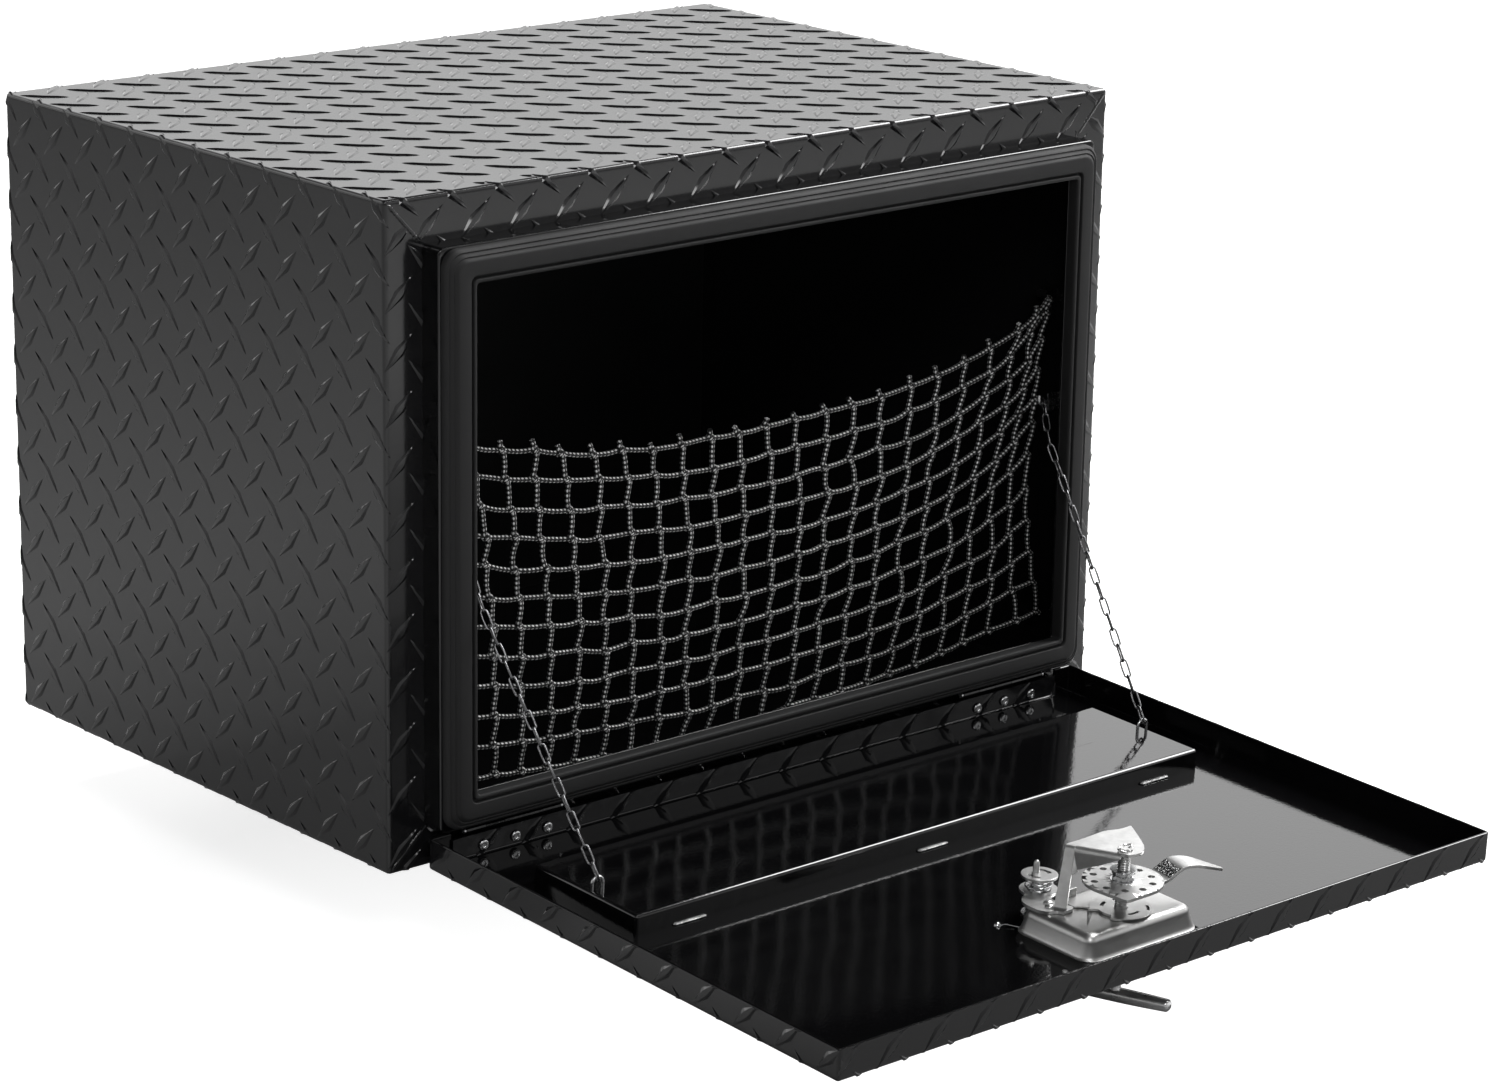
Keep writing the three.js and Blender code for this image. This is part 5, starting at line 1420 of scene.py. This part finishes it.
for number, (x, y) in enumerate(((-33.2, 29.3), (-36.9, 24.4)), 1):
    rivet = by_spindle(rivet_parts(x, y, pan_top - 1.9, pan_top + 2.5))
    piece(f"bridge_rivet_domed_{number}", "door", [(rivet, stainless)],
          [f"bridge_rivet_{number}"], closed=True)
tail = bent([(-52.4, 49.4, -16.9), (-51, 47.5, -15.6), (-48.6, 44, -16.0), (-45.5, 40.5, -16.6)], 2.0)
rivet = rivet_parts(-54, 51, -20.4, -17.2, 2.4, 2.3) + [carried(tail, circle(0.35, 8))]
piece("floor_rivet_domed", "door", [(by_spindle(rivet), zinc)], ["floor_rivet"], closed=True)
guide_z = pan_top + 0.3
guide_outline = rounded_section(
    [(-23, 30), (-23, 17), (-19, 15.5), (-16, 11), (-12.5, 10), (-11, 15), (-7, 17.5), (-3, 21), (-9, 24),
     (-9.4, 30)],
    [1.5, 2, 2, 2, 2, 2, 2, 1, 2, 1], 3)
guide = [flat_sheet(guide_outline, (-15.5, 21.5), 0.0, guide_z, guide_z + 1.2)]
guide += slab((-21, 28.8, guide_z + 1.1), (-9.4, 30.0, guide_z + 6.6))
softened(piece("lock_guide_tab", "door", [(by_spindle(guide), pressed_steel)],
               ["lock_guide"], closed=True), 0.25)

# %% [markdown]
# The turning parts share one frame on the spindle whose X is the pawl's direction; at
# rest it is turned 12 degrees. The thread is a ridge whose radius depends on the angle
# and the height together. The detent disc and the lock's ring are polar grids with some
# cells left out as slots.

# %% Round parts
latch_turn = -12.0
spindle_bore = 4.3


def washer(bore, rim, low, high, edge):
    """A flat ring with softened edges."""
    angle = np.linspace(0, 2 * np.pi, 49)
    rows = [(bore, low), (rim - edge, low), (rim, low + edge), (rim, high - edge),
            (rim - edge, high), (bore, high), (bore, low)]
    return grid(np.stack([polar(r, angle, z) for r, z in rows]))


def pierced(radius, angle, keep, low, high):
    """A round sheet on a polar grid: radius is a grid of rings by angles, and cells where
    keep is false are holes. Every border between a kept and an open cell gets a wall."""
    top, base = [polar(radius, angle, z) for z in (high, low)]
    parts = [without(grid(top), ~keep), without(flipped(grid(base)), ~keep)]
    solid = np.pad(keep, ((1, 1), (0, 0)))
    i, j = np.nonzero(solid[1:] != solid[:-1])
    runs = [((i, j), (i, j + 1))]
    solid = np.concatenate([keep[:, -1:], keep], 1)
    i, j = np.nonzero(solid[:, 1:] != solid[:, :-1])
    runs.append(((i, j), (i + 1, j)))
    for a, b in runs:
        wall = np.stack([top[a], top[b], base[b], base[a]], 1).reshape(-1, 3)
        parts.append((wall, np.arange(len(wall)).reshape(-1, 4), np.zeros((len(wall), 2))))
    return parts


def thread(radius, depth, pitch, low, high):
    """A helical ridge: the radius is a triangle wave of the turn k = angle / 2 pi - height /
    pitch, r = radius + depth (2 |k - nearest whole number| - 0.5), smaller at both ends."""
    heights = np.arange(low, high, pitch / 7)
    angle = np.linspace(0, 2 * np.pi, 33)
    turn = angle[None] / (2 * np.pi) - heights[:, None] / pitch
    r = radius + depth * (2 * np.abs(turn - np.floor(turn + 0.5)) - 0.5)
    ends = np.minimum(1, np.minimum(heights - low, high - heights) / 1.2 + 0.75)
    caps = [polar(0, angle[None], z) for z in (heights[0], heights[-1])]
    return grid(np.concatenate([caps[0], polar(r * ends[:, None], angle, heights[:, None]), caps[1]]))


print("round part helpers ready")

# %% [markdown]
# The spindle is a shaft with a thread, and a bent wire lies across its upper end. The
# detent disc has four slots and one bite out of its rim, with a tooth at its start. Three
# nuts hold the stack, with one washer below the second nut and one above the third.

# %% Spindle, detent disc and nuts
shaft = [turned([(0, -22.2), (4, -22.2), (4, 1.0), (0, 1.0)], 32), thread(3.7, 0.75, 1.6, 0.5, 38.6)]
t = np.linspace(0, 1, 13)
cross_wire = np.stack([-5.2 + 10.6 * t, 0.9 * np.sin(2 * np.pi * t), 38.0 + 0.8 * np.sin(3 * np.pi * t)], -1)
cotter = [carried(cross_wire, circle(0.65, 8))]
for wire_corners in ([(4.6, 0.6, 38.2), (6.6, 2.6, 38.6), (4.4, 4.6, 37.8), (1.8, 4.4, 38.2)],
                     [(-4.8, -0.4, 38.0), (-6.0, -2.6, 38.6), (-3.6, -4.2, 37.8)]):
    cotter.append(carried(bent(wire_corners, 1.4, 5), circle(0.6, 8)))
piece("threaded_spindle", "latch", [(by_spindle(shaft + cotter, latch_turn), stainless)],
      ["spindle"], closed=True, smooth=30)


def between(angle, low, high):
    """Where an angle lies between two others, all in degrees."""
    return (angle > low) & (angle < high)


angle = np.linspace(0, 2 * np.pi, 97)
disc_rings = np.array([spindle_bore, 7, 10.6, 12.8, 15.6, 17.4, 19.5])
bite = between(np.degrees(angle), 168, 214)
tooth = (np.degrees(angle) > 163) & (np.degrees(angle) <= 170)
radius, angles = np.meshgrid(disc_rings, angle, indexing="ij")
tooth_rise = 1.2 * (tooth[None] & (radius > 19))
radius = np.where(bite[None] & (radius > 14), 14.2 + (radius - 14) * 0.12, radius) + tooth_rise
ring_at, middle = np.arange(6)[:, None], np.degrees((angle[1:] + angle[:-1]) / 2)[None]
slots = between(middle, 38, 84) | between(middle, 112, 150) | between(middle, 258, 300)
open_cells = (ring_at == 2) & slots | (ring_at == 4) & between(middle, 318, 346)
disc = by_spindle(pierced(radius, angles, ~open_cells, -1.8, -0.4), latch_turn)
softened(piece("slotted_detent_disc", "latch", [(disc, pressed_steel)],
               ["detent_disc"], closed=True), 0.15)

nuts = [("nut_lower", 10.5, 13.3, 0, []),
        ("nut_upper", 18.2, 21.0, 0, [washer(spindle_bore, 8.0, 17.95, 18.15, 0.05)]),
        ("nut_lock", 21.3, 24.1, 17, [washer(spindle_bore, 8.3, 24.15, 24.75, 0.2)])]
for name, low, high, own_turn, washers in nuts:
    parts = [moved(p, turn=own_turn) for p in [hex_nut(spindle_bore, 12.8, low, high)] + washers]
    piece(f"{name}_hex", "latch", [(by_spindle(parts, latch_turn), zinc)],
          [name], closed=True, smooth=25)

# %% [markdown]
# The round plate has ten holes and one blunt tip. It is worked out sector by sector: each
# sector is a strip that changes from the hole's circle to the sector's outline.

# %% Drilled plate
def drilled_plate(bore, rim, hole_circle, hole, count, low, high, phase):
    """A round plate with a ring of holes, from sectors that change from circle to outline."""
    parts = []
    k = np.linspace(0, 2 * np.pi, 33)
    for n in range(count):
        middle = phase + 2 * np.pi * (n + 0.5) / count
        box = np.stack([np.cos(k), np.sin(k)], -1)
        box = box / np.abs(box).max(1, keepdims=True)
        angle = middle + box[:, 1] * np.pi / count
        radius = np.where(box[:, 0] > 0, hole_circle + (rim(angle) - hole_circle) * box[:, 0],
                          hole_circle + (hole_circle - bore) * box[:, 0])
        outline = np.stack([radius * np.cos(angle), radius * np.sin(angle)], -1)
        centre = hole_circle * np.array([math.cos(middle), math.sin(middle)])
        spin = np.stack([np.cos(k + middle), np.sin(k + middle)], -1)
        small = centre + hole * spin
        flat = np.stack([small * (1 - s) + outline * s for s in (0, 0.35, 1)])
        top = np.concatenate([flat, np.full((*flat.shape[:2], 1), high)], -1)
        base = np.concatenate([flat, np.full((*flat.shape[:2], 1), low)], -1)
        parts += [flipped(grid(top)), grid(base), grid(np.stack([top[0], base[0]]))]
    a = np.linspace(0, 2 * np.pi, count * 8 + 1) + phase
    for radius, order in ((rim(a), (low, high)), (bore, (high, low))):
        parts.append(grid(np.stack([polar(radius, a, z) for z in order])))
    return parts


tip_angle = math.radians(-119.5)
cam_radius, cam_point, cam_blunt = 25, 34, 33.2
cam_hole_circle, cam_hole, cam_holes = 18.6, 2.3, 10


def cam_rim(angle):
    """The plate's rim: a circle and the two lines that touch it and meet at cam_point from
    the middle, radius = r / cos(max(0, acos(r / point) - off)), cut blunt at cam_blunt."""
    off = np.abs((angle - tip_angle + np.pi) % (2 * np.pi) - np.pi)
    reach = cam_radius / np.cos(np.maximum(0, math.acos(cam_radius / cam_point) - off))
    return np.minimum(reach, cam_blunt)


cam = drilled_plate(spindle_bore, cam_rim, cam_hole_circle, cam_hole, cam_holes, 15.9, 17.9,
                    tip_angle - math.pi / cam_holes)
piece("drilled_cam_plate", "latch", [(by_spindle(cam, latch_turn), stainless)],
      ["cam_plate"], closed=True, smooth=30)

# %% [markdown]
# The pawl is one thick strip with a hump. The rise to the hump is knurled; the shade
# among its teeth is painted as a dark speckled band. From the hump it narrows to a blunt tip.

# %% Pawl
knurl, knurl_tree, knurl_shader, knurl_places = start("knurled_steel")
lumps = node(knurl_tree, "ShaderNodeTexVoronoi", {"Vector": knurl_places.outputs["Object"],
                                                  "Scale": 900.0}).outputs["Distance"]
# Painted shade: the base colour goes from 0.5 to nearly black across the cells, for the dark look of the
# knurled band.
painted_knurl_shade = blended(knurl_tree, spread(knurl_tree, lumps, -0.6, 1.9), (0.5, 0.5, 0.5), (0.01, 0.01, 0.01))
knurl_tree.links.new(painted_knurl_shade, knurl_shader.inputs["Base Color"])
knurl_shader.inputs["Metallic"].default_value = 1.0
knurl_shader.inputs["Roughness"].default_value = 0.34
relief = node(knurl_tree, "ShaderNodeBump", {"Height": lumps, "Distance": 0.0006,
                                             "Strength": 1.0}).outputs[0]
knurl_tree.links.new(relief, knurl_shader.inputs["Normal"])
pawl_path = bent([(-9, 14.6), (28.5, 14.6), (39.5, 20.6), (51, 20.6), (71.4, 13.4)], 6.0, 8)
r = pawl_path[:, 0]
edge_at = [-9, -8, -6, -3, 0, 25, 42, 51, 66, 70.5, 71.4]
right_edge = np.interp(r, edge_at, [-1.5, -4.6, -6.9, -8.6, -9, -9, -6, -6.4, -6.6, -5.6, -3.5])
left_edge = np.interp(r, edge_at, [1.5, 4.6, 6.9, 8.6, 9, 9.5, 12, 10, 3.4, 1.4, -0.4])
pawl_parts = ribbon(pawl_path, right_edge, left_edge, 2.0, 5)
on_rise = (r > 29.2) & (r < 39.4)
step = np.gradient(pawl_path[on_rise], axis=0)
step = step / np.linalg.norm(step, axis=1, keepdims=True)
band_path = pawl_path[on_rise] + np.stack([-step[:, 1], step[:, 0]], -1) * 1.06
band_parts = ribbon(band_path, right_edge[on_rise] + 0.7, left_edge[on_rise] - 0.7, 0.3, 5)
softened(piece("humped_pawl", "latch", [(by_spindle(pawl_parts, latch_turn), stainless),
                                        (by_spindle(band_parts, latch_turn), knurl)],
               ["pawl"], closed=True), 0.45)

# %% [markdown]
# The lock is a round housing through the door with a turning plug. Above it sit two
# turns of a wavy spring, and a pierced ring with an upright pin that the key turns.

# %% Lock
def by_lock(parts):
    """Parts made round the lock's axis, set on the door."""
    return by_spindle([moved(p, (lock_x, lock_y, 0)) for p in parts])


def housing_flats(angle, z):
    """What is added to the housing's radius: -0.9 mm on two flat sides above the floor."""
    return np.where((z > -18) & (z < 0) & (np.abs(np.sin(angle)) > 0.93), -0.9, 0.0)


housing = turned([(4.8, -22.4), (9.2, -22.4), (9.5, -22.1), (9.5, -20.6), (9.2, -20.4), (7.4, -20.4),
                  (7.4, 0.6), (6.9, 1.2), (4.8, 1.2), (4.8, -22.4)], 40, housing_flats)
t = np.linspace(0, 1, 97)
coil = np.stack([8.2 * np.cos(4 * np.pi * t), 8.2 * np.sin(4 * np.pi * t),
                 1.4 + 5.4 * t + 0.7 * np.sin(6.5 * np.pi * t)], -1)
spring = carried(coil, circle(0.7, 8) * [1.0, 0.6])
lock_washer = washer(7.3, 10.2, -17.2, -15.4, 0.3)
piece("lock_housing", "door", [(by_lock([housing, lock_washer, spring]), zinc)],
      ["lock_cylinder"], closed=True)
key_plug = turned([(0, -19.4), (1.2, -19.4), (1.2, -22.2), (4.4, -22.2), (4.5, -22.0), (4.5, 7.8),
                   (0, 7.8)], 32)
piece("lock_plug_core", "key", [(by_lock([key_plug]), zinc)], ["lock_plug"], closed=True)
pin = moved(turned([(0, 9.0), (2.2, 9.0), (2.2, 12.0), (1.9, 16.2), (1.2, 17.5), (0, 17.9)], 24), (0, 3.0, 0))
ring_steps = [0, 3.6, 5.2, 7.6, 9.6, 10.4, 11.5]
radius, angles = np.meshgrid(ring_steps, np.linspace(0, 2 * np.pi, 73), indexing="ij")
ring_at, middle = np.arange(6)[:, None], np.degrees((angles[:1, 1:] + angles[:1, :-1]) / 2)
crescents = (ring_at == 2) & (between(middle, 150, 232) | (middle > 330) | (middle < 48))
ring_top = pierced(radius, angles, ~crescents, 8.2, 9.8)
softened(piece("lock_ring_and_pin", "key", [(by_lock([pin] + ring_top), stainless)],
               ["lock_disc"], closed=True), 0.2)

# %% [markdown]
# ## Turning handle
# The handle hangs on a yoke under the spindle and folds into the pan. Its crossbar is
# polished, with shallow grooves along it and rounded ends. Its section is a superellipse,
# x = a sign(cos t) |cos t|^0.75 and the same with sin t for the height.

# %% T-handle
handle_turn = -66.0
pivot_z = door_outer - 7
bar_z = pivot_z - 31
bar_half, end_round = 36.5, 2.6
end = np.linspace(0, np.pi / 2, 7)
along_bar = np.r_[-bar_half + end_round * (1 - np.cos(end[1:])), np.linspace(-33, 33, 12),
                  bar_half - end_round + end_round * np.sin(end[:-1])]
taper = 1 - 0.16 * (np.abs(along_bar) / bar_half) ** 2
bar_size = np.r_[np.sin(end[1:]), np.ones(12), np.cos(end[:-1])] * taper
turn = np.linspace(0, 2 * np.pi, 97)
wide = 5.0 * np.sign(np.cos(turn)) * np.abs(np.cos(turn)) ** 0.75
tall = 4.3 * np.sign(np.sin(turn)) * np.abs(np.sin(turn)) ** 0.75
tall = tall - 1.2 * np.exp(-((np.abs(wide) - 1.7) / 0.5) ** 2) * (tall > 0)
bar_path = np.stack([along_bar, 0 * along_bar, bar_z + 0 * along_bar], -1)
bar = carried(bar_path, np.stack([wide, tall], -1), size=bar_size)
shank = turned([(0, bar_z), (3.9, bar_z + 2), (3.2, bar_z + 7), (3.2, pivot_z - 5), (3.9, pivot_z - 1),
                (0, pivot_z)], 28)


def across_pivot(profile, sides):
    """A turned part laid along X through the handle's pivot."""
    points, faces, uv = turned(profile, sides)
    return points[:, [2, 0, 1]] + [0, 0, pivot_z], faces, uv


eye = across_pivot([(1.8, -4.2), (4.2, -4.2), (4.6, -3.8), (4.6, 3.8), (4.2, 4.2), (1.8, 4.2),
                    (1.8, -4.2)], 28)
polished = metal("polished_handle", (0.85, 0.85, 0.85), (0.6, 0.6, 0.6), (0.16, 0.3), (60.0, 60.0, 60.0),
                 0.000004, 0.2)
piece("t_handle_polished", "handle", [(by_spindle([bar, shank, eye], handle_turn), polished)],
      ["t_handle"], closed=True)

# %% [markdown]
# The yoke is a block under the spindle with two cheeks. The pin goes through both cheeks
# and the handle's eye.

# %% Yoke and pin
yoke_half, cheek_inner, cheek_y, cheek_z = 7.5, 4.5, 4.6, 4.9


def cheek(x0, x1):
    """One side of the yoke: a plate with a round lower end, worked out as a loft in x."""
    a = np.linspace(0, 2 * np.pi, 33)
    y = cheek_y * np.cos(a)
    z = cheek_z * np.where(np.sin(a) < 0, np.sin(a), 1.0)
    rows = [np.stack([np.full_like(a, x), y * s, pivot_z + z * s], -1)
            for x, s in ((x0, 0), (x0, 0.93), (x0 + 0.4, 1), (x1 - 0.4, 1), (x1, 0.93), (x1, 0))]
    return grid(np.stack(rows))


yoke = [cheek(-yoke_half, -cheek_inner), cheek(cheek_inner, yoke_half)]
yoke += slab((-yoke_half, -cheek_y, pivot_z + cheek_z), (yoke_half, cheek_y, pivot_z + 8.9), (3, 3))
softened(piece("handle_yoke_cheeks", "latch", [(by_spindle(yoke, handle_turn), zinc)],
               ["handle_yoke"], closed=True), 0.3)
pivot_pin = across_pivot([(0, -8.5), (1.4, -8.5), (1.5, -8.2), (1.5, 8.2), (1.4, 8.5), (0, 8.5)], 20)
piece("handle_pin_round", "latch", [(by_spindle([pivot_pin], handle_turn), zinc)],
      ["handle_pin"], closed=True)

# %% [markdown]
# ## Finish
# Both boxes are printed, the CAD part's on import and the finished look's here, so that
# they can be compared.

# %% Finish
print("pieces:", len(made), "with", sum(made.values()), "triangles")
low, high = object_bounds()
{"cad": [list(cad_low), list(cad_high)], "visual": [list(low), list(high)]}
print("visual box, metres:", [round(v, 4) for v in (*low, *high)])
